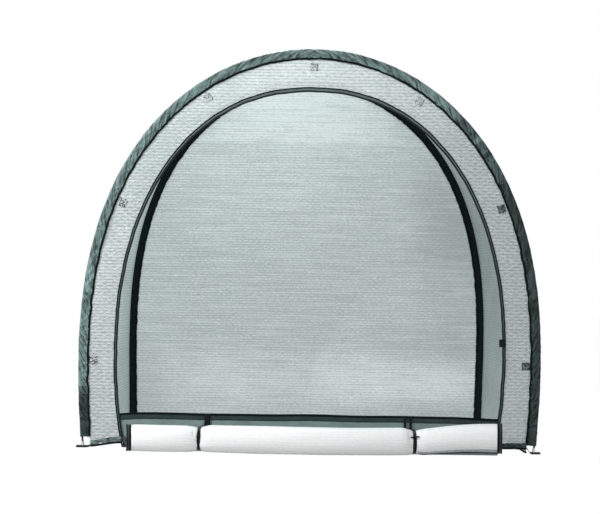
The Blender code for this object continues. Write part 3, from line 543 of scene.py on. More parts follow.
@dataclass(frozen=True)
class Film(Finish):
    """Translucent reinforced bubble film."""

    opacity: float = 0.86
    lets_light: float = 0.45
    relief: float = 0.0032
    rib_tone: float = 0.85
    glint: float = 0.5
    thread: float = 0.1
    scuffs: float = 0.16
    glow: float = 0.0
    clouds: float = 0.0
    streaks: float = 0.0
    patches: tuple[LightPatch, ...] = ()

    def dress(self, graph: Surface, effects: Effects) -> None:
        """Lay the film's pattern on the surface.

        Args:
            graph: The material's graph.
            effects: Shared node groups.
        """
        film = graph.group(effects.bubbles, Vector=graph.place)
        mottle = graph.group(effects.mottle, Vector=graph.place, Broad=3.0, Fine=95.0)
        # ribs mixed from dark to light: painted shade and painted highlights on the film's relief
        red, green, blue = self.tone(1.0 - self.rib_tone)
        darker = ((1.0 - 0.23 * self.rib_tone) * red, green, blue)
        base = graph.mix(film["Rib"], darker, self.tone(1.0 + self.rib_tone))
        for mask, share, over in (
            (mottle["Grain"], self.scuffs, self.tone(0.4)),
            (mottle["Tone"], self.clouds, (0.94, 0.96, 0.96)),
            (film["Thread"], self.thread, (0.95, 0.97, 0.97)),
            (film["Glint"], self.glint, (0.96, 0.98, 0.98)),
        ):
            base = graph.mix(graph.times(mask, share), base, over)
        lit = (0.97, 0.99, 0.99)
        for patch in self.patches:
            places = {"Across": patch.across, "Up": patch.up, "Wide": patch.wide, "Tall": patch.tall}
            mask = graph.group(effects.patch, Vector=graph.place, Floor=patch.floor, **places)["Mask"]
            low, high, over = (0.25, 1.7, lit) if patch.amount > 0 else (-1.4, -0.6, self.tone(0.25))
            share = graph.span(film["Rib"], 0, 1, low * patch.amount, high * patch.amount)
            base = graph.mix(graph.times(mask, share), base, over)
        # streaks: rows of painted highlights and painted shade
        if self.streaks:
            rows = graph.stretched(graph.place, (3.0, 62.0, 1.0))
            tone = graph.group(effects.mottle, Vector=rows, Broad=1.0, Fine=2.0)["Tone"]
            base = graph.mix(graph.span(tone, 0.5, 1.0, 0.0, self.streaks), base, lit)
            base = graph.mix(graph.span(tone, 0.0, 0.5, self.streaks, 0.0), base, self.tone(0.3))
        graph.feed("Base Color", base)
        rough = graph.span(mottle["Tone"], 0, 1, self.roughness - 0.05, self.roughness + 0.08)
        graph.feed("Roughness", rough)
        if self.opacity < 1.0:
            clear = graph.plus(self.opacity, graph.times(film["Thread"], 0.06))
            shadow = graph.node("ShaderNodeLightPath").outputs["Is Shadow Ray"]
            clear = graph.minus(clear, graph.times(shadow, self.lets_light))
            graph.feed("Alpha", graph.math("MINIMUM", clear, 1.0))
        graph.bump(film["Height"], self.relief, 0.8)
        if self.glow:
            through = graph.node("ShaderNodeBsdfTranslucent", self.tone(1.3))
            both = graph.node("ShaderNodeMixShader", self.glow, graph.shader.outputs[0], through.outputs[0])
            graph.put(graph.tree.nodes["Material Output"].inputs["Surface"], both.outputs[0])


@dataclass(frozen=True)
class Hard(Finish):
    """Metal or moulded plastic with fine scratches."""

    metallic: float = 0.0
    scratch: float = 0.1
    relief: float = 0.00003

    def dress(self, graph: Surface, effects: Effects) -> None:
        """Lay the scratches on the surface.

        Args:
            graph: The material's graph.
            effects: Shared node groups.
        """
        value = graph.group(effects.scratches, Vector=graph.place, Density=900.0)["Scratch"]
        tone = graph.group(effects.mottle, Vector=graph.place, Broad=60.0, Fine=1500.0)["Tone"]
        graph.feed("Base Color", graph.mix(tone, self.tone(0.85), self.tone(1.12)))
        low, high = self.roughness - self.scratch, self.roughness + self.scratch
        graph.feed("Roughness", graph.span(value, 0.3, 0.7, low, high))
        graph.feed("Metallic", self.metallic)
        graph.bump(value, self.relief, 0.5)


class Wardrobe:
    """All finishes of the tent, each built once."""

    def __init__(self) -> None:
        """Build the materials."""
        effects = Effects()
        cloth, black = (0.062, 0.098, 0.095), (0.003, 0.006, 0.006)
        finishes = [
            Folded("sleeve_polyester", cloth, 0.4, 0.3, dark=0.03, light=3.8),
            Folded("sleeve_in_shade", tuple(0.42 * c for c in cloth), 0.5, 0.2, dark=0.06, light=4.2),
            Folded("sleeve_in_deep_shade", tuple(0.09 * c for c in cloth), 0.5, 0.15, dark=0.1, light=10.0),
            # near-black inside face of the sleeves: dark lining, darkened further as painted shade inside the
            # tent
            Cloth("sleeve_lining", (0.003, 0.008, 0.0075), 0.8, 0.15, sheen=0.0),
            Cloth("piping_tape", (0.003, 0.007, 0.0065), 0.8, 0.08, pitch=0.0012, sheen=0.0),
            Folded(
                "hem_cloth", (0.012, 0.019, 0.0185), 0.5, 0.2,
                along=45.0, across=170.0, angle=0.15, light=8.0,
            ),
            Folded(
                "gathered_film", (0.06, 0.09, 0.088), 0.4, 0.4,
                along=30.0, across=110.0, angle=0.25, dark=0.02, light=3.2,
            ),
            Cloth("pale_hem_cloth", (0.5, 0.56, 0.555), 0.55, 0.3),
            Cloth("threshold_cloth", (0.215, 0.3, 0.295), 0.6, 0.3, pitch=0.0008),
            Cloth("threshold_binding", (0.02, 0.04, 0.039), 0.62, 0.25, pitch=0.0011),
            Cloth("zip_tape_cloth", (0.12, 0.165, 0.162), 0.6, 0.3, pitch=0.001),
            Cloth("dark_tape_cloth", (0.018, 0.027, 0.0265), 0.6, 0.2, pitch=0.001),
            Cloth("webbing", black, 0.72, 0.15, pitch=0.0018, relief=0.00035, sheen=0.02),
            Cloth("solid_webbing", black, 0.72, 0.15, Coordinates.SOLID, pitch=0.0018, relief=0.00035),
            Cloth("patch_cloth", (0.55, 0.61, 0.605), 0.6, 0.3, pitch=0.001),
            Cloth("patch_cloth_in_shade", (0.16, 0.21, 0.205), 0.6, 0.3, pitch=0.001),
            Cloth("thread", (0.008, 0.013, 0.013), 0.6, 0.3, pitch=0.0006),
            Cloth("elastic_braid", black, 0.65, 0.2, pitch=0.0011, relief=0.0003, sheen=0.0),
            # These three are one film: the roof and side copy and the rear wall's copy are darker,
            # as painted shade inside the tent; their light patches are painted light and shade.
            Film(
                "cover_film", (0.685, 0.8, 0.8), 0.3, 0.5,
                glint=0.6, thread=0.6, scuffs=0.75, glow=0.3, streaks=0.12,
                patches=(LightPatch(0.0, 1.72, 0.95, 0.42, 0.75), LightPatch(-0.93, 0.9, 0.2, 0.6, 0.2)),
            ),
            Film(
                "side_film", (0.27, 0.34, 0.335), 0.34, 0.5,
                opacity=0.92, relief=0.002, glint=0.4, thread=0.2, scuffs=0.4, glow=0.45,
                patches=(LightPatch(0.4, 0.9, 0.8, 0.9, 0.85), LightPatch(0.4, 3.85, 1.0, 1.1, -1.15)),
            ),
            Film(
                "back_film", (0.495, 0.59, 0.585), 0.28, 0.6,
                glint=0.35, thread=0.12, scuffs=0.6, clouds=0.1, glow=0.3, streaks=0.36,
                patches=(
                    LightPatch(-0.05, 1.64, 0.6, 0.45, 1.7, 1.478),
                    LightPatch(0.16, 1.56, 0.38, 0.16, 0.8),
                    LightPatch(-0.1, 1.35, 0.85, 0.45, 0.42),
                    LightPatch(0.45, 0.23, 0.58, 0.17, 1.2),
                    LightPatch(0.72, 0.21, 0.24, 0.1, 1.3),
                    LightPatch(-0.35, 0.22, 0.65, 0.2, 0.8),
                    LightPatch(0.62, 0.03, 0.5, 0.09, -0.9),
                    LightPatch(0.66, 0.42, 0.36, 0.13, -0.7),
                    LightPatch(0.8, 1.0, 0.28, 0.7, -1.1),
                    LightPatch(-0.88, 0.1, 0.17, 0.3, -0.6),
                ),
            ),
            Film(
                "rolled_film", (0.935, 0.958, 0.955), 0.38, 0.5,
                opacity=1.0, relief=0.0006, rib_tone=0.04, glint=0.1, thread=0.05, scuffs=0.1,
            ),
            Film(
                "rolled_film_in_shade", (0.5, 0.58, 0.575), 0.38, 0.5,
                opacity=1.0, relief=0.0006, rib_tone=0.35, glint=0.2, thread=0.1, scuffs=0.5,
            ),
            Hard("fibreglass", (0.012, 0.013, 0.014), 0.42, 0.5, Coordinates.SOLID),
            Hard("zinc", (0.62, 0.63, 0.64), 0.33, 0.5, Coordinates.SOLID, metallic=1.0),
            Hard("dark_metal", (0.09, 0.095, 0.095), 0.35, 0.5, Coordinates.SOLID, metallic=1.0),
            Hard("zip_coil", (0.004, 0.007, 0.007), 0.5, 0.2),
            Hard("toggle_plastic", (0.003, 0.005, 0.005), 0.45, 0.15),
        ]
        self.materials = {finish.name: finish.build(effects) for finish in finishes}

    def __getitem__(self, name: str) -> bpy.types.Material:
        """Material of a finish by name."""
        return self.materials[name]


# Meshes


class MeshMaker:
    """Collects grids and small solids, and turns them into one object."""

    def __init__(self, finishes: Wardrobe) -> None:
        """Start empty, with the materials to choose from."""
        self.finishes = finishes
        self.points: list[Points] = []
        self.faces: list[Points] = []
        self.places: list[Points] = []
        self.slots: list[Points] = []
        self.count = 0

    def add(self, points: Points, faces: Points, places: Points, slot: int) -> None:
        """Add faces that all have the same number of corners.

        Args:
            points: Vertices, n by 3.
            faces: Vertex numbers, faces by corners.
            places: Texture place of each corner, faces by corners by 2.
            slot: Material slot.
        """
        self.points.append(points.reshape(-1, 3))
        self.faces.append(faces + self.count)
        self.places.append(places)
        self.slots.append(np.full(len(faces), slot))
        self.count += len(self.points[-1])

    def grid(self, points: Points, places: Points, closed: bool = False, slot: int = 0) -> None:
        """Add a grid of quads.

        Args:
            points: Rows by columns by 3.
            places: Texture places, with one more column where the columns close.
            closed: Whether the columns close to a tube, whose ends are then filled.
            slot: Material slot.
        """
        rows, columns = points.shape[:2]
        across = np.arange(columns if closed else columns - 1)
        row, column = np.meshgrid(np.arange(rows - 1), across, indexing="ij")
        corners = ((row, column), (row, column + 1), (row + 1, column + 1), (row + 1, column))
        faces = joined(*(level * columns + spot % columns for level, spot in corners))
        spots = np.stack([places[corner] for corner in corners], 2)
        self.add(points, faces.reshape(-1, 4), spots.reshape(-1, 4, 2), slot)
        if closed:
            fan = np.arange(columns)
            faces = joined(columns, fan, (fan + 1) % columns)
            for rim in (points[0, ::-1], points[-1]):
                rim = np.concatenate([rim, rim.mean(0, keepdims=True)])
                self.add(rim, faces, np.zeros((columns, 3, 2)), slot)

    def stitches(
        self, centres: Points, along: Points, up: Points, size: tuple[float, float, float], slot: int = 0
    ) -> None:
        """Add small lens-shaped stitches, or teeth.

        Args:
            centres: Middle of each, n by 3.
            along: Unit direction of each, or of all.
            up: Unit direction away from the cloth.
            size: Length, width and height.
            slot: Material slot.
        """
        length, width, height = size
        centres, along, up = np.broadcast_arrays(centres, along, up)
        side = np.cross(along, up)
        corners = [
            centres - along * length / 2,
            centres + side * width / 2,
            centres + along * length / 2,
            centres - side * width / 2,
            centres + up * height,
            centres - up * height * 0.3,
        ]
        triangles = np.array(
            [[0, 1, 4], [1, 2, 4], [2, 3, 4], [3, 0, 4], [1, 0, 5], [2, 1, 5], [3, 2, 5], [0, 3, 5]]
        )
        faces = (triangles + np.arange(len(centres))[:, None, None] * 6).reshape(-1, 3)
        self.add(np.stack(corners, 1), faces, np.zeros((len(faces), 3, 2)), slot)

    def build(self, name: str, *looks: str) -> bpy.types.Object:
        """Make the object.

        Args:
            name: Name of the piece.
            *looks: Finishes of its slots.

        Returns:
            The object, linked to the scene.
        """
        mesh = bpy.data.meshes.new(name)
        points = np.concatenate(self.points)
        sizes = np.concatenate([np.full(len(f), f.shape[1]) for f in self.faces])
        corners = np.concatenate([f.ravel() for f in self.faces])
        mesh.vertices.add(len(points))
        mesh.vertices.foreach_set("co", points.astype(np.float32).ravel())
        mesh.loops.add(len(corners))
        mesh.loops.foreach_set("vertex_index", corners.astype(np.int32))
        mesh.polygons.add(len(sizes))
        starts = np.concatenate([[0], np.cumsum(sizes)[:-1]])
        mesh.polygons.foreach_set("loop_start", starts.astype(np.int32))
        mesh.polygons.foreach_set("material_index", np.concatenate(self.slots).astype(np.int32))
        mesh.update(calc_edges=True)
        layer = mesh.uv_layers.new(name="cloth")
        places = np.concatenate([p.reshape(-1, 2) for p in self.places])
        layer.data.foreach_set("uv", places.astype(np.float32).ravel())
        for look in looks:
            mesh.materials.append(self.finishes[look])
        mesh.shade_smooth()
        mesh.set_sharp_from_angle(angle=math.radians(50))
        piece = bpy.data.objects.new(name, mesh)
        bpy.context.scene.collection.objects.link(piece)
        return piece


def joined(*parts: Points | float) -> Points:
    """Parts of points or places, broadcast and put side by side on a new last axis."""
    return np.stack(np.broadcast_arrays(*parts), -1)


def unit(vectors: Points) -> Points:
    """Vectors scaled to length 1."""
    return vectors / np.linalg.norm(vectors, axis=-1, keepdims=True)


def metres(along: Points, across: Points) -> Points:
    """Texture places of a grid whose rows and columns have their own measures.

    Args:
        along: Measure of each row.
        across: Measure of each column.

    Returns:
        Rows by columns by 2.
    """
    return np.stack(np.meshgrid(along, across, indexing="ij"), -1)


def steps(points: Points) -> Points:
    """Distance of each point along a chain of points."""
    return np.concatenate([[0.0], np.cumsum(np.linalg.norm(np.diff(points, axis=0), axis=1))])


def smooth(value: Points | float) -> Points:
    """Ease from 0 to 1 with no slope at either end."""
    value = np.clip(value, 0.0, 1.0)
    return value * value * (3.0 - 2.0 * value)


def hem_lift(x: Points) -> Points:
    """Height of the front hems' lower edges above the ground: both rise toward the door."""
    right = 0.018 * smooth((0.962 - x) / 0.012)
    left = 0.018 * smooth((x + 0.97) / 0.16)
    return np.where(x > 0, right, left)


class Ripple:
    """A smooth random field made of sine waves, between about -1 and 1."""

    def __init__(
        self, seed: int, shortest: float, longest: float, stretch: float = 1.0, waves: int = 14
    ) -> None:
        """Draw the waves.

        Args:
            seed: Seed of the draw.
            shortest: Shortest wave in metres.
            longest: Longest wave.
            stretch: How many times longer the waves are along the first measure.
            waves: Number of waves.
        """
        draw = np.random.default_rng(seed)
        length = np.exp(draw.uniform(math.log(shortest), math.log(longest), waves))
        heading = draw.uniform(0, 2 * math.pi, waves)
        self.first = 2 * math.pi / length * np.cos(heading) / stretch
        self.second = 2 * math.pi / length * np.sin(heading)
        self.phase = draw.uniform(0, 2 * math.pi, waves)
        self.weight = (length / longest) ** 0.6
        self.weight /= math.sqrt(float((self.weight**2).sum()))

    def __call__(self, first: Points, second: Points | float = 0.0) -> Points:
        """Value of the field.

        Args:
            first: First measure in metres.
            second: Second measure.

        Returns:
            Values of the same shape.
        """
        first, second = np.broadcast_arrays(first, second)
        total = np.zeros(first.shape)
        for a, b, phase, weight in zip(self.first, self.second, self.phase, self.weight):
            total += weight * np.sin(a * first + b * second + phase)
        return total


def place(piece: bpy.types.Object, slot: str, *nodes: str, body: str = "tent") -> None:
    """Make a piece ride on a body, and stand for its nodes.

    Args:
        piece: The piece, in its place.
        slot: Material slot in the record; not used.
        *nodes: Solids that it stands for.
        body: Body that carries it.
    """
    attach(piece, body)
    if nodes:
        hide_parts(*nodes)
    log.info("%s rides on %s, %d faces", piece.name, body, len(piece.data.polygons))


# Lines of the hoops and the door


class ArchLine:
    """A smooth line in a plane of constant y, from the left foot to the right foot."""

    def __init__(self, x: Points, z: Points, y: float) -> None:
        """Keep the line and its outward directions.

        Args:
            x: Places across.
            z: Heights.
            y: Depth of the plane.
        """
        self.x, self.z, self.y = x, z, y
        self.spot = steps(joined(x, z))
        self.length = float(self.spot[-1])
        slope_x, slope_z = np.gradient(x, self.spot), np.gradient(z, self.spot)
        size = np.hypot(slope_x, slope_z)
        self.out_x, self.out_z = -slope_z / size, slope_x / size
        top = int(np.argmax(z))
        self.left_x, self.left_z, self.left_spot = x[: top + 1], z[: top + 1], self.spot[: top + 1]

    def at(self, spot: Points, out: Points | float = 0.0, depth: Points | float = 0.0) -> Points:
        """Points along the line, shifted outward and to the rear.

        Args:
            spot: Distances from the left foot.
            out: Shift outward.
            depth: Shift to the rear.

        Returns:
            Points with a last axis of 3.
        """
        spot, out, depth = np.broadcast_arrays(spot, out, depth)
        way_x, way_z = self.outward(spot)
        x = np.interp(spot, self.spot, self.x) + out * way_x
        z = np.interp(spot, self.spot, self.z) + out * way_z
        return joined(x, self.y + depth, z)

    def outward(self, spot: Points) -> tuple[Points, Points]:
        """X and Z of the outward direction at distances along the line."""
        return np.interp(spot, self.spot, self.out_x), np.interp(spot, self.spot, self.out_z)

    def heading(self, spot: Points) -> Points:
        """Unit directions along the line."""
        return unit(self.at(spot + 0.001) - self.at(spot - 0.001))

    def rise(self, height: float) -> float:
        """Distance along the left side at which the line reaches a height."""
        return float(np.interp(height, self.left_z, self.left_spot))

    def half_width(self, height: Points) -> Points:
        """Half of the line's width at heights."""
        return -np.interp(height, self.left_z, self.left_x)


@dataclass
class HoopShape:
    """The line of a bent rod, found from its top height in the frame."""

    node: str
    bend_depth: float
    rod_length: float
    rod_radius: float = 0.00425
    half_steps: int = 380

    def half(self, height: float, bend: float) -> tuple[Points, Points]:
        """Follow the rod from its top down.

        Args:
            height: Height of the rod's line at the top.
            bend: Curvature gained by each metre of height.

        Returns:
            Places across and heights.
        """
        step = self.rod_length / 2 / self.half_steps
        x, z, slope = [0.0], [height], 0.0
        for _ in range(self.half_steps):
            middle_height = z[-1] - step / 2 * math.sin(slope)
            middle = slope + step / 2 * bend * (z[-1] + self.bend_depth)
            x.append(x[-1] + step * math.cos(middle))
            z.append(z[-1] - step * math.sin(middle))
            slope += step * bend * (middle_height + self.bend_depth)
        return np.array(x), np.array(z)

    def line(self) -> ArchLine:
        """Find the bend that brings the rod's ends to the ground.

        Returns:
            The hoop's line.
        """
        low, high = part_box(self.node)
        height = high.z - self.rod_radius
        hard = 0.2
        while self.half(height, hard)[1][-1] > 0:
            hard += 0.02
        soft = hard - 0.02
        for _ in range(30):
            bend = (soft + hard) / 2
            if self.half(height, bend)[1][-1] > 0:
                soft = bend
            else:
                hard = bend
        x, z = self.half(height, bend)
        x, z = np.concatenate([-x[::-1], x[1:]]), np.concatenate([z[::-1], z[1:]])
        return ArchLine(x, np.maximum(z, 0.0), (low.y + high.y) / 2)


def door_line(y: float, widest_height: float = 0.413, roundness: float = 2.2) -> ArchLine:
    """The arch of the door at the outer edge of its zip tape.

    Args:
        y: Depth of the front plane.
        widest_height: Height at which the door is widest.
        roundness: Exponent of the arch.

    Returns:
        The line.
    """
    low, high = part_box("zip_tape")
    half_width, rise = (high.x - low.x) / 2, high.z - widest_height
    lowest = -math.asin((widest_height / rise) ** (roundness / 2))
    angle = np.linspace(lowest, math.pi / 2, 400)
    x = -half_width * np.cos(angle) ** (2 / roundness)
    z = widest_height + rise * np.sign(angle) * np.abs(np.sin(angle)) ** (2 / roundness)
    x, z = np.concatenate([x, -x[-2::-1]]), np.concatenate([z, z[-2::-1]])
    whole = ArchLine(x, z, y)
    even = np.linspace(0.0, whole.length, 900)
    points = whole.at(even)
    return ArchLine(points[:, 0], np.maximum(points[:, 2], 0.0), y)


# Sleeves


@dataclass
class Sleeve:
    """A cloth sleeve folded round a rod, with creases, its piping and its seam."""

    prefix: str
    line: ArchLine
    outside: int
    finishes: Wardrobe
    seed: int
    lift_left: float = 0.045
    lift_right: float = 0.034
    edge: float = -0.0348
    radius: float = 0.0082
    seam_depth: float = 0.0026
    piping_width: float = 0.0098
    piping_height: float = 0.0018
    piping_lift: float = 0.0012
    station: float = 0.0035
    crease_spacing: float = 0.017

    def __post_init__(self) -> None:
        """Work out the stations along the hoop and the seam's waves."""
        start, end = self.line.rise(self.lift_left), self.line.length - self.line.rise(self.lift_right)
        self.spots = np.linspace(start, end, int((end - start) / self.station))
        self.seam_wave = 0.0012 * Ripple(self.seed, 0.03, 0.12)(self.spots)

    def creases(self, across: Points, face: int) -> Points:
        """Relief of the diagonal creases on one face.

        Args:
            across: Distance of each column from the seam.
            face: 0 or 1, for the two faces.

        Returns:
            Heights, stations by columns.
        """
        draw = np.random.default_rng(self.seed * 10 + face)
        relief = np.zeros((len(self.spots), len(across)))
        start, end = self.spots[0], self.spots[-1]
        where = np.arange(start, end, self.crease_spacing)
        where = where + draw.normal(0, 0.4 * self.crease_spacing, len(where))
        middle = self.line.length / 2
        for spot in where:
            foot = smooth((abs(spot - middle) / middle - 0.62) / 0.3)
            angle = math.radians(draw.normal(27 + 42 * float(foot), 9)) * (-1 if spot < middle else 1)
            angle *= -1 if draw.random() < 0.18 else 1
            size = draw.uniform(0.0012, 0.003) * (1 + 0.4 * float(foot))
            reach, width = draw.uniform(0.018, 0.045), draw.uniform(0.0035, 0.0065)
            centre = draw.uniform(0.006, 0.032)
            first, last = np.searchsorted(self.spots, (spot - 0.07, spot + 0.07))
            ahead = self.spots[first:last, None] - spot
            aside = across - centre
            along = ahead * math.cos(angle) + aside * math.sin(angle)
            off = -ahead * math.sin(angle) + aside * math.cos(angle)
            relief[first:last] += size * np.exp(-np.abs(off / width) ** 1.5 - (along / reach) ** 2)
        return relief - relief.mean()

    def shade(self) -> Points:
        """Shade copy for each station: painted shade at the feet and down the right side."""
        right = smooth((self.spots - 0.6 * self.line.length) / (0.2 * self.line.length)) * 2.3
        foot = smooth((0.3 - self.spots) / 0.12) * 2.2
        patchy = 0.45 * Ripple(self.seed + 5, 0.05, 0.2)(self.spots)
        return np.clip(np.round(np.maximum(right, foot) + patchy * (right + foot > 0.2)), 0, 2)

    @staticmethod
    def stretches(shade: Points) -> list[tuple[int, int]]:
        """Split the stations where the tone changes.

        Args:
            shade: Tone of each station.

        Returns:
            First and last station of each stretch.
        """
        cuts = [0, *(int(cut) + 1 for cut in np.nonzero(np.diff(shade))[0]), len(shade) - 1]
        return [(first, last) for first, last in zip(cuts, cuts[1:]) if last > first]

    def profile(self) -> tuple[Points, Points, Points]:
        """Cross-section from the front seam edge round the rod to the back one.

        Returns:
            Out and depth of its points, and each one's distance from the seam.
        """
        share = np.linspace(0.0, 1.0, 13)[:-1]
        out = self.edge * (1 - share)
        belly = self.seam_depth + (self.radius - self.seam_depth) * smooth(share * 0.9) ** 0.8
        turn = np.radians(np.linspace(-90, 90, 11))
        round_out, round_depth = self.radius * np.cos(turn), self.radius * np.sin(turn)
        all_out = np.concatenate([out, round_out, out[::-1]])
        all_depth = np.concatenate([-belly, round_depth, belly[::-1]])
        across = np.concatenate([share, np.ones(11), share[::-1]]) * -self.edge
        return all_out, all_depth, across

    def cloth(self) -> None:
        """Build the sleeve."""
        out, depth, across = self.profile()
        half = len(out) // 2
        total = np.zeros((len(self.spots), len(out)))
        total[:, :half] = self.creases(across[:half], 0)
        total[:, half:] = self.creases(across[half:], 1)
        loose = np.sin(np.pi * np.clip(across / -self.edge, 0, 1)) ** 0.5 + 0.35
        loose = np.minimum(loose, 1.0) * np.minimum(1.0, np.arange(len(out)) / 2 + 0.2)
        loose *= np.minimum(1.0, np.arange(len(out))[::-1] / 2 + 0.2)
        slack = 0.0011 * Ripple(self.seed + 3, 0.05, 0.25)(self.spots[:, None], across)
        relief = (total + slack) * loose
        wave = self.seam_wave[:, None] * (1 - np.clip(across / -self.edge, 0, 1))
        round_part = np.clip(out, 0, None) / self.radius
        shift_out = relief * round_part + wave
        shift_depth = relief * np.sign(depth) * np.sqrt(1 - round_part**2)
        points = self.line.at(self.spots[:, None], out + shift_out, depth + shift_depth)
        from_top = np.abs(self.spots - self.line.length / 2)
        places = metres(from_top, steps(joined(out, depth)))
        maker = MeshMaker(self.finishes)
        # each stretch takes the lit cloth or one of its painted shade copies
        shade = self.shade()
        for first, last in self.stretches(shade):
            rows, tone = slice(first, last + 1), int(shade[first])
            # the inside face takes the near-black lining, whose colour also paints the shade inside the tent
            front, back = (3, tone) if self.outside > 0 else (tone, 3)
            maker.grid(points[rows, : half + 1], places[rows, : half + 1], slot=front)
            maker.grid(points[rows, half:], places[rows, half:], slot=back)
        looks = ("sleeve_polyester", "sleeve_in_shade", "sleeve_in_deep_shade", "sleeve_lining")
        piece = maker.build(f"{self.prefix}_sleeve_cloth", *looks)
        thicken(piece, 0.0008, join=0.0001)
        place(piece, "grey_green_polyester", f"{self.prefix}_sleeve")

    def piping(self) -> None:
        """Build the dark piping over the seam, with its stitches."""
        turn = np.linspace(0, 2 * math.pi, 13)[:-1]
        out = self.edge + 0.001 + self.piping_width / 2 * np.sign(np.cos(turn)) * np.abs(np.cos(turn)) ** 0.6
        depth = self.seam_depth + self.piping_lift + self.piping_height / 2 * np.sin(turn)
        across = np.append(steps(joined(out, depth)), 0.024)
        maker = MeshMaker(self.finishes)
        for face in (-1, 1):
            points = self.line.at(self.spots[:, None], out + self.seam_wave[:, None], face * depth)
            maker.grid(points, metres(self.spots, across), closed=True)
        spots = np.arange(self.spots[0] + 0.004, self.spots[-1], STITCH_PITCH)
        wave = np.interp(spots, self.spots, self.seam_wave)
        height = self.outside * (self.seam_depth + self.piping_lift + self.piping_height / 2)
        centres = self.line.at(spots, self.edge + wave + 0.0015, height)
        maker.stitches(centres, self.line.heading(spots), -self.outside * FORWARD, STITCH, slot=1)
        piece = maker.build(f"{self.prefix}_piping_tape", "piping_tape", "thread")
        place(piece, "dark_tape", f"{self.prefix}_sleeve_piping")

    def build(self) -> None:
        """Build cloth and piping."""
        self.cloth()
        self.piping()


def thicken(piece: bpy.types.Object, thickness: float, join: float = 0.0) -> None:
    """Give a sheet its thickness, half on each side.

    Args:
        piece: The sheet.
        thickness: Its thickness.
        join: Distance under which doubled points are merged first.
    """
    if join:
        weld = piece.modifiers.new("seam", "WELD")
        weld.merge_threshold = join
    solid = piece.modifiers.new("thickness", "SOLIDIFY")
    solid.thickness = thickness
    solid.offset = 0.0


# Film cover


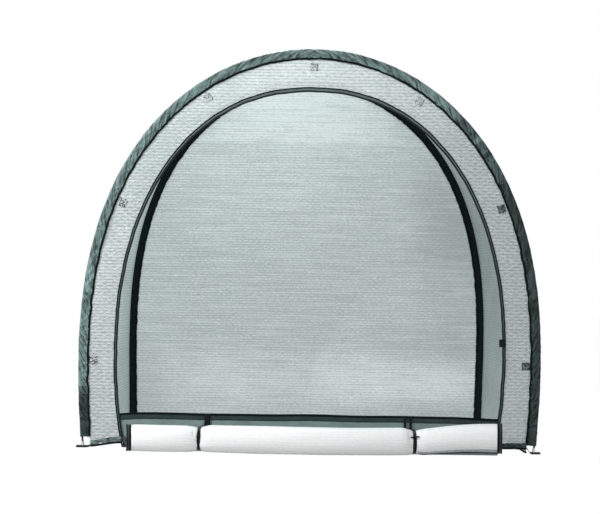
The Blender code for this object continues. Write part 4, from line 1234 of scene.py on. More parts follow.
@dataclass
class Cover:
    """Roof, front wall and rear wall of film."""

    front: ArchLine
    rear: ArchLine
    door: ArchLine
    finishes: Wardrobe
    wall_edge: float = -0.0308
    door_overlap: float = -0.005
    foot: float = 0.0015
    rib_pitch: float = 0.0272
    rib_height: float = 0.0005
    patch_size: float = 0.034
    patch_inside: float = 0.0575

    def ribs(self, height: Points, across: Points, seed: int) -> Points:
        """Relief of the film's ribs, which fade in and out.

        Args:
            height: Measure across the ribs.
            across: Measure along them.
            seed: Seed of their drift.

        Returns:
            Relief in metres.
        """
        drift = 0.01 * Ripple(seed, 0.25, 0.9)(across, height)
        fade = 0.6 + 0.4 * Ripple(seed + 1, 0.15, 0.7)(across, height)
        return self.rib_height * fade * np.sin(2 * np.pi * (height + drift) / self.rib_pitch)

    def stations(self, line: ArchLine, rows: int) -> Points:
        """Column of distances along a line, from foot to foot."""
        start = line.rise(self.foot)
        return np.linspace(start, line.length - start, rows)[:, None]

    def canopy(self) -> None:
        """Roof and side film, drawn inward between the hoops."""
        share = np.linspace(0.0, 1.0, 620)[:, None]
        part = np.linspace(0.0, 1.0, 56)
        front, rear = self.stations(self.front, 620), self.stations(self.rear, 620)
        across = part * (self.rear.y - self.front.y)
        along = (front + rear) / 2
        sag = 0.012 * 4 * part * (1 - part) * np.sin(np.pi * share) ** 2
        edge = np.sin(np.pi * part) ** 0.4
        from_edge = np.minimum(part, 1 - part)
        puckers = 0.0022 * Ripple(31, 0.05, 0.16, 0.5)(along, across) * np.exp(-from_edge / 0.06)
        soft = 0.0035 * Ripple(32, 0.18, 0.7, 0.6)(along, across)
        low = np.exp(-np.minimum(along, self.front.length - along) / 0.05)
        crumple = 0.003 * low * Ripple(33, 0.03, 0.12)(along, across)
        shift = (soft + crumple + self.ribs(along, across, 34)) * edge + puckers * edge - sag
        near, far = self.front.at(front, shift, 0.006), self.rear.at(rear, shift, -0.006)
        points = near + (far - near) * part[..., None]
        tuck = 0.034 * smooth((0.05 - points[..., 2]) / 0.014) * (1 - part) ** 2
        points[..., 0] -= np.sign(points[..., 0]) * tuck
        points[..., 2] = np.maximum(points[..., 2], self.foot)
        maker = MeshMaker(self.finishes)
        maker.grid(points, joined(across, along))
        piece = maker.build("roof_and_side_film", "side_film")
        place(piece, "reinforced_film", "canopy_film")

    def front_wall(self) -> None:
        """Film between the front sleeve and the zip."""
        part = np.linspace(0.0, 1.0, 22)
        outer = self.front.at(self.stations(self.front, 900), self.wall_edge)
        inner = self.door.at(self.stations(self.door, 900), self.door_overlap)
        points = outer + (inner - outer) * part[..., None]
        x, z = points[..., 0].copy(), points[..., 2].copy()
        low = np.exp(-z / 0.028)
        crumple = low * 0.005 * (0.8 + Ripple(42, 0.02, 0.07)(x, z))
        points[..., 1] -= self.front_bulge(x, z, part) + crumple
        points[..., 2] = np.maximum(z, self.foot) + hem_lift(x) * low
        maker = MeshMaker(self.finishes)
        maker.grid(points, joined(x, z))
        piece = maker.build("front_wall_sheet", "cover_film")
        place(piece, "reinforced_film", "front_wall_film")

    def front_bulge(self, x: Points, z: Points, part: Points | float) -> Points:
        """How far the front film stands out of its plane.

        Args:
            x: Place across.
            z: Height.
            part: Share of the way from the sleeve to the zip.

        Returns:
            Distance toward the front.
        """
        edge = np.sin(np.pi * np.clip(part, 0, 1)) ** 0.5
        soft = 0.003 * Ripple(41, 0.1, 0.45)(x, z)
        pull = 0.001 * Ripple(43, 0.02, 0.06)(x + z, (x - z) * 0.3) * (1 - part)
        return (soft + pull + self.ribs(z, x, 44)) * edge

    def patches(self) -> None:
        """Square patches stitched with a cross, where the film is tied to the hoop."""
        maker = MeshMaker(self.finishes)
        across = np.linspace(-0.5, 0.5, 7) * self.patch_size
        middle = self.front.length / 2
        draw = np.random.default_rng(47)
        for shift in (-1.885, -1.165, -0.53, 0.0, 0.53, 1.165, 1.885):
            out_x, out_z = (float(v) for v in self.front.outward(middle + shift))
            centre = self.front.at(middle + shift, -self.patch_inside - 0.013 * max(out_z, 0.0))
            out, along = np.array((out_x, 0.0, out_z)), np.array((out_z, 0.0, -out_x))
            spot = centre + along * across[:, None, None] + out * across[:, None]
            part = 0.21 - across / 0.125
            spot[..., 1] -= self.front_bulge(spot[..., 0], spot[..., 2], part) + 0.0022
            maker.grid(spot, metres(across, across), slot=2 if shift > 0.6 else 0)
            lines = [
                [aside * side * 0.4 + direction * end for end in (-0.4, 0.4)]
                for direction, aside in ((along, out), (out, along)) for side in (-1, 1)
            ]
            lines += [[(along + out * turn) * end for end in (-0.4, 0.4)] for turn in (-1, 1)]
            for start, end in lines:
                way = unit(end - start)
                places = start + (end - start) * np.linspace(0.06, 0.94, 6)[:, None]
                places += draw.normal(0, 0.09, (6, 1)) * along + draw.normal(0, 0.09, (6, 1)) * out
                middles = centre + places * self.patch_size
                middles[:, 1] -= self.front_bulge(middles[:, 0], middles[:, 2], 0.21) + 0.0026
                crossing = max(abs(way @ along), abs(way @ out)) < 0.9
                size = (0.0105, 0.0046, 0.001) if crossing else (0.008, 0.0032, 0.001)
                if abs(shift) < 1.0:
                    size = (0.6 * size[0], 0.5 * size[1], size[2])
                maker.stitches(middles, way, FORWARD, size, slot=1)
        piece = maker.build("stitched_patches", "patch_cloth", "thread", "patch_cloth_in_shade")
        thicken(piece, 0.0006)
        place(piece, "grey_green_polyester")

    def rear_wall(self) -> None:
        """Film that closes the rear hoop."""
        top = float(self.rear.z.max()) + self.wall_edge
        z = np.append(np.arange(self.foot, top - 0.004, 0.0065), top - 0.0005)[:, None]
        shifted = self.rear.at(self.rear.left_spot, self.wall_edge)
        half = -np.interp(z, shifted[:, 2], shifted[:, 0])
        x = np.linspace(-1.0, 1.0, 150) * np.maximum(half, 0.004)
        inset = np.minimum(half - np.abs(x), top - z)
        edge = smooth(inset / 0.05)
        soft = 0.0045 * Ripple(51, 0.25, 0.9)(x, z)
        low = np.exp(-z / 0.12) + 0.35
        crumple = 0.0011 * low * Ripple(52, 0.03, 0.1, 1.8, 24)(x, z)
        y = self.rear.y - (soft + crumple + self.ribs(z, x, 53)) * edge
        maker = MeshMaker(self.finishes)
        maker.grid(joined(x, y, z), joined(x, z))
        piece = maker.build("rear_wall_sheet", "back_film")
        place(piece, "reinforced_film", "rear_wall_film")

    def build(self) -> None:
        """Build the films and the patches."""
        self.canopy()
        self.front_wall()
        self.rear_wall()
        self.patches()


@dataclass
class Hems:
    """Folded cloth strips along the ground."""

    rear: ArchLine
    finishes: Wardrobe
    height: float = 0.026
    thickness: float = 0.0048
    corner_x: float = 0.9465

    def strip(self, node: str, ends: Points, look: str, height: float, seed: int) -> None:
        """Build one hem as a soft flattened tube.

        Args:
            node: Solid that it stands for.
            ends: Both ends on the ground.
            look: Name of its finish.
            height: Height of the strip.
            seed: Seed of its waves.
        """
        start, end = ends
        lifted = node.startswith("front")
        length = float(np.linalg.norm(end - start))
        share = np.linspace(0, 1, max(16, int(length / 0.004)))[:, None]
        along = share * length
        axis = (end - start) / length
        side = np.cross(axis, UPWARD)
        turn = np.linspace(0, 2 * math.pi, 21)[:-1]
        flat = np.sign(np.cos(turn)) * np.abs(np.cos(turn)) ** 0.55
        tall = np.sign(np.sin(turn)) * np.abs(np.sin(turn)) ** 0.7
        rise = height / 2 * (1 + tall) + 0.0016 * (1 + tall) / 2 * Ripple(seed, 0.02, 0.09)(along)
        bulge = 0.0016 * Ripple(seed + 1, 0.012, 0.05)(along, rise * 1.5)
        aside = self.thickness / 2 * flat * (0.75 + 0.25 * (1 - tall) / 2) + bulge
        base = start + (end - start) * share[..., None]
        lift = hem_lift(base[..., 0]) * lifted
        points = base + side * aside[..., None] + UPWARD * (np.maximum(rise, 0.0) + lift)[..., None]
        maker = MeshMaker(self.finishes)
        around = np.append(steps(joined(flat * self.thickness / 2, tall * height / 2)), 2.2 * height)
        maker.grid(points, metres(along[:, 0], around), closed=True)
        middle = start + axis * np.arange(0.004, length, STITCH_PITCH)[:, None]
        middle[:, 2] = 0.72 * height + hem_lift(middle[:, 0]) * lifted
        for away in (-side, side):
            spot = middle + away * self.thickness * 0.49
            maker.stitches(spot, axis, away, (0.0038, 0.0007, 0.0005), slot=1)
        edge = base + side * (np.cos(turn) * self.thickness * 1.3)[:, None]
        edge = edge + UPWARD * (0.005 + 0.0048 * np.sin(turn) + lift)[..., None]
        maker.grid(edge, metres(along[:, 0], np.linspace(0, 0.02, 21)), closed=True, slot=2)
        piece = maker.build(f"{node}_cloth", look, "thread", "piping_tape")
        place(piece, "grey_green_polyester", node)

    def build(self) -> None:
        """Build the five hems from their places in the frame."""
        for node, look, height, seed in (
            ("front_hem_left", "gathered_film", 0.03, 61),
            ("front_hem_right", "hem_cloth", 0.027, 63),
            ("rear_hem", "hem_cloth", self.height, 65),
        ):
            low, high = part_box(node)
            start, end, middle = low.x, high.x, (low.y + high.y) / 2
            if node.startswith("front"):
                start, end = max(start, -self.corner_x), min(end, self.corner_x)
                middle -= 0.004
            ends = np.array(((start, middle, 0.0), (end, middle, 0.0)))
            self.strip(node, ends, look, height, seed)
        for side in Side:
            node = f"side_hem_{side.label}"
            low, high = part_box(node)
            front_x, rear_x = side.value * self.corner_x, side.value * -self.rear.x[0]
            ends = np.array(((front_x, low.y, 0.0), (rear_x, high.y, 0.0)))
            self.strip(node, ends, "pale_hem_cloth", self.height, 67)


@dataclass
class CornerStraps:
    """Webbing straps on the ground that hold the feet of the rods."""

    lines: dict[str, ArchLine]
    finishes: Wardrobe
    thickness: float = 0.0015

    def build(self) -> None:
        """Build the four straps."""
        for prefix in self.lines:
            for side in Side:
                self.strap(prefix, side)

    def strap(self, prefix: str, side: Side) -> None:
        """Build one strap from the hem's corner out past the foot.

        Args:
            prefix: Front or rear.
            side: Left or right.
        """
        node = f"{prefix}_corner_strap_{side.label}"
        low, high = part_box(node)
        near, far = sorted((abs(low.x), abs(high.x)))
        raised = 0.018 if prefix == "front" and side is Side.RIGHT else 0.002
        reach = np.linspace(near, far, 26)
        slope = 1.0 - smooth((reach - near) / 0.017)
        tip = 0.0008 * smooth((reach - far + 0.012) / 0.012)
        level = self.thickness / 2 + 0.0001 + raised * slope + tip
        width = np.linspace(low.y, high.y, 9)
        x, y = np.meshgrid(side.value * reach, width, indexing="ij")
        tilt = 0.0055 if prefix == "front" else 0.0
        z = level[:, None] + tilt * (y - low.y) / (high.y - low.y)
        maker = MeshMaker(self.finishes)
        maker.grid(joined(x, y, z), joined(x, y))
        spots = np.arange(near + 0.004, far - 0.002, 0.0045)
        spots = spots[np.abs(spots + self.lines[prefix].x[0]) > 0.009]
        tall = np.interp(spots, reach, level) + self.thickness / 2
        for row in (low.y + 0.003, high.y - 0.003):
            middle = joined(side.value * spots, row, tall)
            maker.stitches(middle, RIGHTWARD, UPWARD, (0.003, 0.0008, 0.0004), slot=1)
        piece = maker.build(f"{node}_webbing", "webbing", "thread")
        thicken(piece, self.thickness - 0.0001)
        place(piece, "black_webbing", node)


# Zip


@dataclass
class Zip:
    """Zip tape with its teeth round the door, and the tab beside it."""

    line: ArchLine
    finishes: Wardrobe
    side_width: float = 0.0108
    top_width: float = 0.0172
    top_shift: float = 0.005
    front: float = -0.0023
    thickness: float = 0.001
    teeth_width: float = 0.0032
    tooth_pitch: float = 0.003
    tab_height: float = 0.479
    tab_length: float = 0.034
    tab_reach: float = 0.016

    def width(self, spots: Points) -> Points:
        """Width of the tape, which lies flat at the top and is drawn in at the sides."""
        level = np.clip(self.line.outward(spots)[1], 0.0, 1.0)
        return self.side_width + (self.top_width - self.side_width) * level**2

    def shift(self, spots: Points) -> Points:
        """How far the tape lies outside its line, all of it at the top."""
        return self.top_shift * np.clip(self.line.outward(spots)[1], 0.0, 1.0) ** 2

    def build(self) -> None:
        """Build tape, teeth and tab as one sewn piece."""
        start = self.line.rise(0.0006)
        spots = np.linspace(start, self.line.length - start, 1100)[:, None]
        width = self.width(spots)
        wave = 0.0007 * Ripple(71, 0.04, 0.2)(spots) + self.shift(spots)
        maker = MeshMaker(self.finishes)
        tape = np.array((
            (0.0, 0.0), (0.0, -0.8), (-0.06, -1.1), (-0.14, -0.8),
            (-0.2, -1.0), (-0.96, -1.0), (-1.0, -0.5), (-1.0, 0.0),
        ))
        edge = np.array(((0.0014, 0.6), (0.0014, -1.4), (-0.0026, -1.7), (-0.0046, -1.0), (-0.0046, 0.6)))
        coil = np.array(((0.0042, 0.5), (0.0042, -1.2), (-0.001, -1.5), (-0.0036, -0.7), (-0.0036, 0.5)))
        for slot, out, level, across in (
            (0, tape[:, 0] * width, tape[:, 1], np.append(steps(tape * (0.02, 0.001)), 0.042)),
            (1, edge[:, 0], edge[:, 1], np.linspace(0, 0.012, 6)),
            (2, coil[:, 0] - width, coil[:, 1], np.linspace(0, 0.01, 6)),
        ):
            points = self.line.at(spots, out + wave, self.front + level * self.thickness)
            maker.grid(points, metres(spots[:, 0], across), closed=True, slot=slot)

        end = self.line.length - start
        teeth = np.arange(start + 0.002, end, self.tooth_pitch)
        way_x, way_z = self.line.outward(teeth)
        inward = self.shift(teeth) - self.width(teeth) - self.teeth_width / 2
        middle = self.line.at(teeth, inward, self.front - 0.0008)
        size = (self.teeth_width * 1.15, 0.0016, 0.0009)
        maker.stitches(middle, joined(way_x, 0.0, way_z), FORWARD, size, slot=2)
        seam = np.arange(start + 0.004, end, STITCH_PITCH)
        for shift in (-0.005, -0.0085):
            spot = self.line.at(seam, shift + self.shift(seam), self.front - 0.001)
            maker.stitches(spot, self.line.heading(seam), FORWARD, STITCH, slot=3)
        self.tab(maker)
        piece = maker.build("door_zip", "zip_tape_cloth", "piping_tape", "zip_coil", "thread", "webbing")
        place(piece, "dark_tape", "zip_tape")

    def tab(self, maker: MeshMaker) -> None:
        """Add the small webbing tab on the right.

        Args:
            maker: Mesh that takes it.
        """
        spot = self.line.length - self.line.rise(self.tab_height)
        reach = self.side_width + self.tab_reach
        out = -np.linspace(0.003, reach, 9)
        loop = np.concatenate([out, [-reach - 0.0006], out[::-1]])
        level = np.concatenate([np.full(9, -0.0012), [-0.0001], np.full(9, 0.001)])
        spots = spot + np.linspace(-self.tab_length / 2, self.tab_length / 2, 14)[:, None]
        bow = 0.0006 * Ripple(75, 0.01, 0.03)(spots, loop)
        points = self.line.at(spots, loop, self.front - 0.0005 + level + bow)
        across = np.append(steps(joined(loop, level)), 0.07)
        maker.grid(points, metres(spots[:, 0], across), closed=True, slot=4)


# Threshold


@dataclass
class Threshold:
    """Cloth panel across the door, with its binding and two webbing loops."""

    door: ArchLine
    finishes: Wardrobe
    height: float = 0.156
    binding_width: float = 0.0275
    cloth: float = 0.0012
    bead: float = 0.008
    loop_bulge: float = 0.003

    def top(self, x: Points) -> Points:
        """Height of the slack upper edge, which droops at both ends."""
        droop = 0.005 * (smooth((-x - 0.74) / 0.1) + 0.8 * smooth((x - 0.62) / 0.2))
        return self.height - self.cloth + 0.002 * Ripple(81, 0.25, 0.9)(x) - droop

    def build(self) -> None:
        """Build panel, binding and loops."""
        low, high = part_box("sill_panel")
        y = (low.y + high.y) / 2
        share, part = np.linspace(0, 1, 34)[:, None], np.linspace(-1, 1, 320)
        x = part * (self.door.half_width(share * self.height) - 0.0055)
        z = share * (self.top(x) - self.cloth)
        slack = smooth((1 - np.abs(part)) / 0.06)
        wave = 0.0012 * Ripple(82, 0.05, 0.3, 0.6)(x, z) * slack * np.sin(np.pi * share) ** 0.5
        maker = MeshMaker(self.finishes)
        maker.grid(joined(x, y + wave * 0.5, z), joined(x, z))
        panel = maker.build("threshold_panel", "threshold_cloth")
        thicken(panel, 0.0009)
        place(panel, "grey_green_polyester", "sill_panel")
        self.binding(y)
        self.loop(Side.LEFT, 0.025)
        self.loop(Side.RIGHT, 0.034, bands=2)

    def fold(self, x: Points, y: float, drop: float, gap: float) -> tuple[Points, Points]:
        """Points of a strip folded over the panel's upper edge.

        Args:
            x: Places across, as a column.
            y: Depth of the panel.
            drop: How far the strip hangs down on each face.
            gap: Distance of its faces from the panel's middle.

        Returns:
            Points and the measure across the strip.
        """
        down = np.linspace(drop, 0.0, 8)
        turn = np.radians(np.linspace(180, 0, 7))
        depth = np.concatenate([np.full(8, -1.0), np.cos(turn)[1:-1], np.full(8, 1.0)]) * gap
        down = np.concatenate([down, -self.cloth * np.sin(turn)[1:-1], down[::-1]])
        wave = 0.0006 * Ripple(83, 0.02, 0.08)(x, down)
        return joined(x, y + depth + wave, self.top(x) - self.cloth - down), steps(joined(depth, down))

    def binding(self, y: float) -> None:
        """Build the folded binding and the darker bead over its edge.

        Args:
            y: Depth of the panel.
        """
        low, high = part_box("sill_binding")
        x = np.linspace(low.x, high.x, 330)[:, None]
        maker = MeshMaker(self.finishes)
        for slot, (drop, gap) in enumerate(((self.binding_width, 0.0017), (self.bead, 0.0023))):
            points, across = self.fold(x, y, drop, gap)
            maker.grid(points, metres(x[:, 0], across), slot=slot)
        piece = maker.build("threshold_binding_tape", "threshold_binding", "piping_tape")
        thicken(piece, 0.0008)
        place(piece, "dark_tape", "sill_binding")
        spots = np.arange(low.x + 0.004, high.x, STITCH_PITCH)
        maker = MeshMaker(self.finishes)
        for drop in (self.binding_width - 0.003, self.bead + 0.002):
            middle = joined(spots, y - 0.0024, self.top(spots) - self.cloth - drop)
            maker.stitches(middle, RIGHTWARD, FORWARD, STITCH)
        place(maker.build("threshold_stitching", "thread"), "dark_tape")

    def loop(self, side: Side, width: float, bands: int = 1) -> None:
        """Build one webbing loop.

        Args:
            side: Left or right.
            width: Width of the webbing.
            bands: Bands that it lies in, 2 where its halves stand apart.
        """
        low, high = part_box(f"sill_loop_{side.label}")
        rear, turn = high.y - 0.0012, self.loop_bulge
        x = side.pick(*LOOP_PLACES) + np.linspace(-0.5, 0.5, 12)[:, None] * width
        top, bottom = float(self.top(x).mean()) + 0.0006, low.z + 0.0006
        angle = np.radians(np.linspace(0, 180, 13))
        path_y = np.concatenate([[rear, rear, rear], rear - turn + turn * np.cos(angle), [rear - 0.0024] * 3])
        back = [top, (top + bottom) / 2, bottom + 2 * turn]
        under = bottom + turn - turn * np.sin(angle)
        path_z = np.concatenate([back, under, [bottom + 0.026, bottom + 0.04, top]])
        cup = 0.0008 * np.cos(np.linspace(-1.3, 1.3, 12))[:, None]
        maker = MeshMaker(self.finishes)
        for column, band in enumerate(np.split(x, bands)):
            inward = (0.5 - column) * 0.0062 * (bands - 1)
            band = band.mean() + (band - band.mean()) * (1.0 if bands == 1 else 0.62) - inward
            points = joined(band, path_y - cup[: len(band)], path_z)
            maker.grid(points, metres(band[:, 0], steps(joined(path_y, path_z))))
        piece = maker.build(f"threshold_loop_{side.label}", "webbing")
        thicken(piece, 0.0012)
        place(piece, "black_webbing", f"sill_loop_{side.label}")


# Rolled door


@dataclass
class DoorRoll:
    """The door's film wound into a roll of three puffs, with its zip tape on both edges."""

    door: ArchLine
    finishes: Wardrobe
    tie_x: float = 0.457
    tie_shift: float = -0.0095
    axis_z: float = 0.056
    front_reach: float = 0.059
    pinch_radius: float = 0.047
    pinch_flat: float = 0.022
    pinch_reach: float = 0.055
    pitch: float = 0.0062
    sill_height: float = 0.15
    turns: float = 6.0
    shaded_turns: float = 0.125
    left_spread: float = 0.012
    toggle_degrees: float = 30.0
    toggle_reach: float = 0.0195
    toggle_room: float = 0.0037
    full_half_width: float = 0.845
    middle_slack: float = 0.036
    left_slack: float = 0.015
    raised_z: float = 0.077

    def __post_init__(self) -> None:
        """Take the roll's place from the frame."""
        low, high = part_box("door_roll")
        self.left, self.right = low.x, high.x
        self.axis_y = low.y + self.front_reach
        self.tail = high.y - 0.001
        low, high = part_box("toggle_left")
        toggle = math.hypot(self.axis_y - (low.y + high.y) / 2, (low.z + high.z) / 2 - self.axis_z)
        self.pressed_radius = toggle - self.toggle_room

    def tie_place(self, side: Side) -> float:
        """Place of a tie across the tent."""
        return self.tie_shift + side.value * self.tie_x

    def from_tie(self, x: Points) -> Points:
        """Distance of places along the roll from the nearer tie."""
        return np.abs(np.abs(x - self.tie_shift) - self.tie_x)

    def outer(self, x: Points) -> Points:
        """Radius of the outermost layer at places along the roll."""
        ties = [self.tie_place(side) for side in Side]
        left = np.interp(x, (self.left, ties[0]), (0.0585, 0.057))
        right = np.interp(x, (ties[1], self.right), (0.056, 0.0655))
        swell = np.where(x < ties[0], left, np.where(x > ties[1], right, 0.06))
        away = self.from_tie(x) - self.pinch_flat / 2 + 0.006
        puff = np.sin(np.clip(away / self.pinch_reach, 0, 1) * np.pi / 2) ** 0.6
        end = np.minimum(x - self.left, self.right - x)
        return self.pinch_radius + (swell - self.pinch_radius) * puff - 0.002 * np.exp(-end / 0.012)

    def sheet_points(self, share: Points, edge: Points) -> Points:
        """Points of the wound film.

        Args:
            share: Winding in turns from the ground, outermost first.
            edge: Place across, -1 at the left edge and 1 at the right.

        Returns:
            Points with a last axis of 3.
        """
        middle, reach = (self.left + self.right) / 2, (self.right - self.left) / 2
        taken = 0.345 * share - 0.0195 * share**2
        height = np.minimum(self.sill_height + taken, self.door.z.max())
        width = np.minimum(self.door.half_width(height) / self.full_half_width, 1.0)
        x = middle + edge * reach * np.where(share < 2.0, 1.0, np.clip(width, 0.05, 1.0))
        outer = self.outer(x)
        radius = outer - self.pitch * outer / self.axis_z * share
        wrinkle = Ripple(91, 0.02, 0.07, 9.0, 20)(x, share * 0.33)
        gap = self.from_tie(x)
        gather = np.exp(-gap / 0.03) * Ripple(92, 0.008, 0.022, 12.0)(x, share * 0.33)
        radius = radius + 0.0008 * wrinkle + 0.0011 * gather * smooth(gap / 0.012)
        lift = smooth((x - self.tie_place(Side.RIGHT)) / 0.3)
        slack = np.clip(1.0 - ((x - self.tie_shift) / self.tie_x) ** 2, 0.0, 1.0) * self.middle_slack
        left = np.clip((self.tie_place(Side.LEFT) - x) * (x - self.left) / 0.02, 0.0, 1.0)
        slack += left * self.left_slack
        theta = -np.pi / 2 + 2 * np.pi * share
        turned = (np.degrees(theta) - self.toggle_degrees + 180.0) % 360.0 - 180.0
        under_bar = 1.0 - smooth((gap - self.toggle_reach) / 0.01)
        under_bar = under_bar * (1.0 - smooth((np.abs(turned) - 7.0) / 16.0))
        stands = radius + slack * math.cos(math.radians(self.toggle_degrees)) - self.pressed_radius
        radius = radius - np.maximum(stands, 0.0) * under_bar
        x = x - 0.011 * np.sign(edge) * edge**6 * np.maximum(np.cos(theta), 0.0)
        x = x - self.left_spread * np.clip(-edge, 0.0, 1.0) ** 6
        y = self.axis_y + 0.006 * lift - slack - radius * np.cos(theta)
        axis_z = np.maximum(self.axis_z, self.outer(x)) * (1 - lift) + self.raised_z * lift
        z = axis_z + radius * np.sin(theta)
        return joined(x, y, np.maximum(z, 0.0016 + 0.002 * share))

    def outward(self, points: Points) -> Points:
        """Unit directions from the roll's axis to points."""
        return unit((points - (0.0, self.axis_y, self.axis_z)) * (0.0, 1.0, 1.0))

    def build(self) -> None:
        """Build film and edge tapes."""
        share = np.linspace(0.0, self.turns - 0.4, 210)[:, None]
        edge = np.linspace(-1.0, 1.0, 330)
        wound = self.sheet_points(*np.broadcast_arrays(share, edge))
        start = wound[0]
        back = np.linspace(1.0, 0.0, 12)[:-1][:, None]
        tail_y = start[:, 1] + (self.tail - start[:, 1]) * back
        tail = joined(start[:, 0] * (1.0 - 0.025 * back), tail_y, 0.0014)
        points = np.concatenate([tail, wound])
        along = steps(points[:, 165])
        maker = MeshMaker(self.finishes)
        places = joined(points[..., 0], along[:, None])
        tie = int(np.searchsorted(start[:, 0], self.tie_place(Side.RIGHT) + 0.012))
        fold = len(tail) + int(np.searchsorted(share[:, 0], self.shaded_turns))
        maker.grid(points[:, : tie + 1], places[:, : tie + 1])
        maker.grid(points[fold:, tie:], places[fold:, tie:])
        maker.grid(points[: fold + 1, tie:], places[: fold + 1, tie:], slot=1)
        film = maker.build("rolled_door_film", "rolled_film", "rolled_film_in_shade")
        place(film, "reinforced_film", "door_roll")
        for side in Side:
            self.tape(side)

    def tape(self, side: Side) -> None:
        """Build the zip tape wound with one edge of the film.

        Args:
            side: Left or right edge.
        """
        share = np.linspace(0.02, self.turns - 1.2, 230)[:, None]
        edge = self.sheet_points(share, np.full_like(share, side.value))[:, 0]
        way = self.outward(edge)
        maker = MeshMaker(self.finishes)
        along = steps(edge)
        for slot, near, far, lift, count in (
            (0, -0.004, 0.015, 0.0014, 8),
            (1, -0.0055, 0.0035, 0.0024, 5),
            (2, 0.009, 0.016, 0.0022, 5),
        ):
            reach = np.linspace(near, far, count)
            bow = lift * (0.55 + 0.45 * np.sin(np.pi * np.linspace(0.0, 1.0, count)))
            points = edge[:, None] + way[:, None] * bow[:, None]
            points[..., 0] += side.value * reach
            points[..., 2] = np.maximum(points[..., 2], 0.0012)
            maker.grid(points, metres(along, reach), slot=slot)
        teeth = np.arange(0.0, along[-1], 0.003)
        middle, away = (joined(*(np.interp(teeth, along, part) for part in line.T)) for line in (edge, way))
        away = unit(away)
        middle += away * 0.0028
        middle[:, 0] += side.value * 0.0135
        middle[:, 2] = np.maximum(middle[:, 2], 0.0014)
        maker.stitches(middle, RIGHTWARD, away, (0.0036, 0.0016, 0.001), slot=2)
        if side is Side.RIGHT:
            edge, share = np.meshgrid(np.linspace(0.565, 0.995, 90), np.linspace(0.028, 0.08, 7))
            line = self.sheet_points(share, edge)
            line[..., 1] -= 0.0012
            line[..., 2] -= 0.0006
            maker.grid(line, joined(line[..., 0], share), slot=1)
        looks = ("dark_tape_cloth", "piping_tape", "zip_coil")
        piece = maker.build(f"rolled_door_tape_{side.label}", *looks)
        place(piece, "dark_tape", f"door_zip_tape_{side.label}")


def lathe(maker: MeshMaker, profile: Sequence[tuple[float, float]], start: Points, axis: Points) -> None:
    """Add a solid turned round an axis.

    Args:
        maker: Mesh that takes it.
        profile: Radius and distance along the axis.
        start: Start of the axis.
        axis: Unit direction.
    """
    first = unit(np.cross(axis, UPWARD if abs(axis[2]) < 0.9 else RIGHTWARD))
    second = np.cross(axis, first)
    turn = np.linspace(0, 2 * math.pi, 25)[:-1]
    ring = np.cos(turn)[:, None] * first + np.sin(turn)[:, None] * second
    radius, along = np.array(profile).T
    points = start + axis * along[:, None, None] + ring * radius[:, None, None]
    around = np.linspace(0, 2 * math.pi * float(radius.max()), 25)
    maker.grid(points, metres(along, around), closed=True)


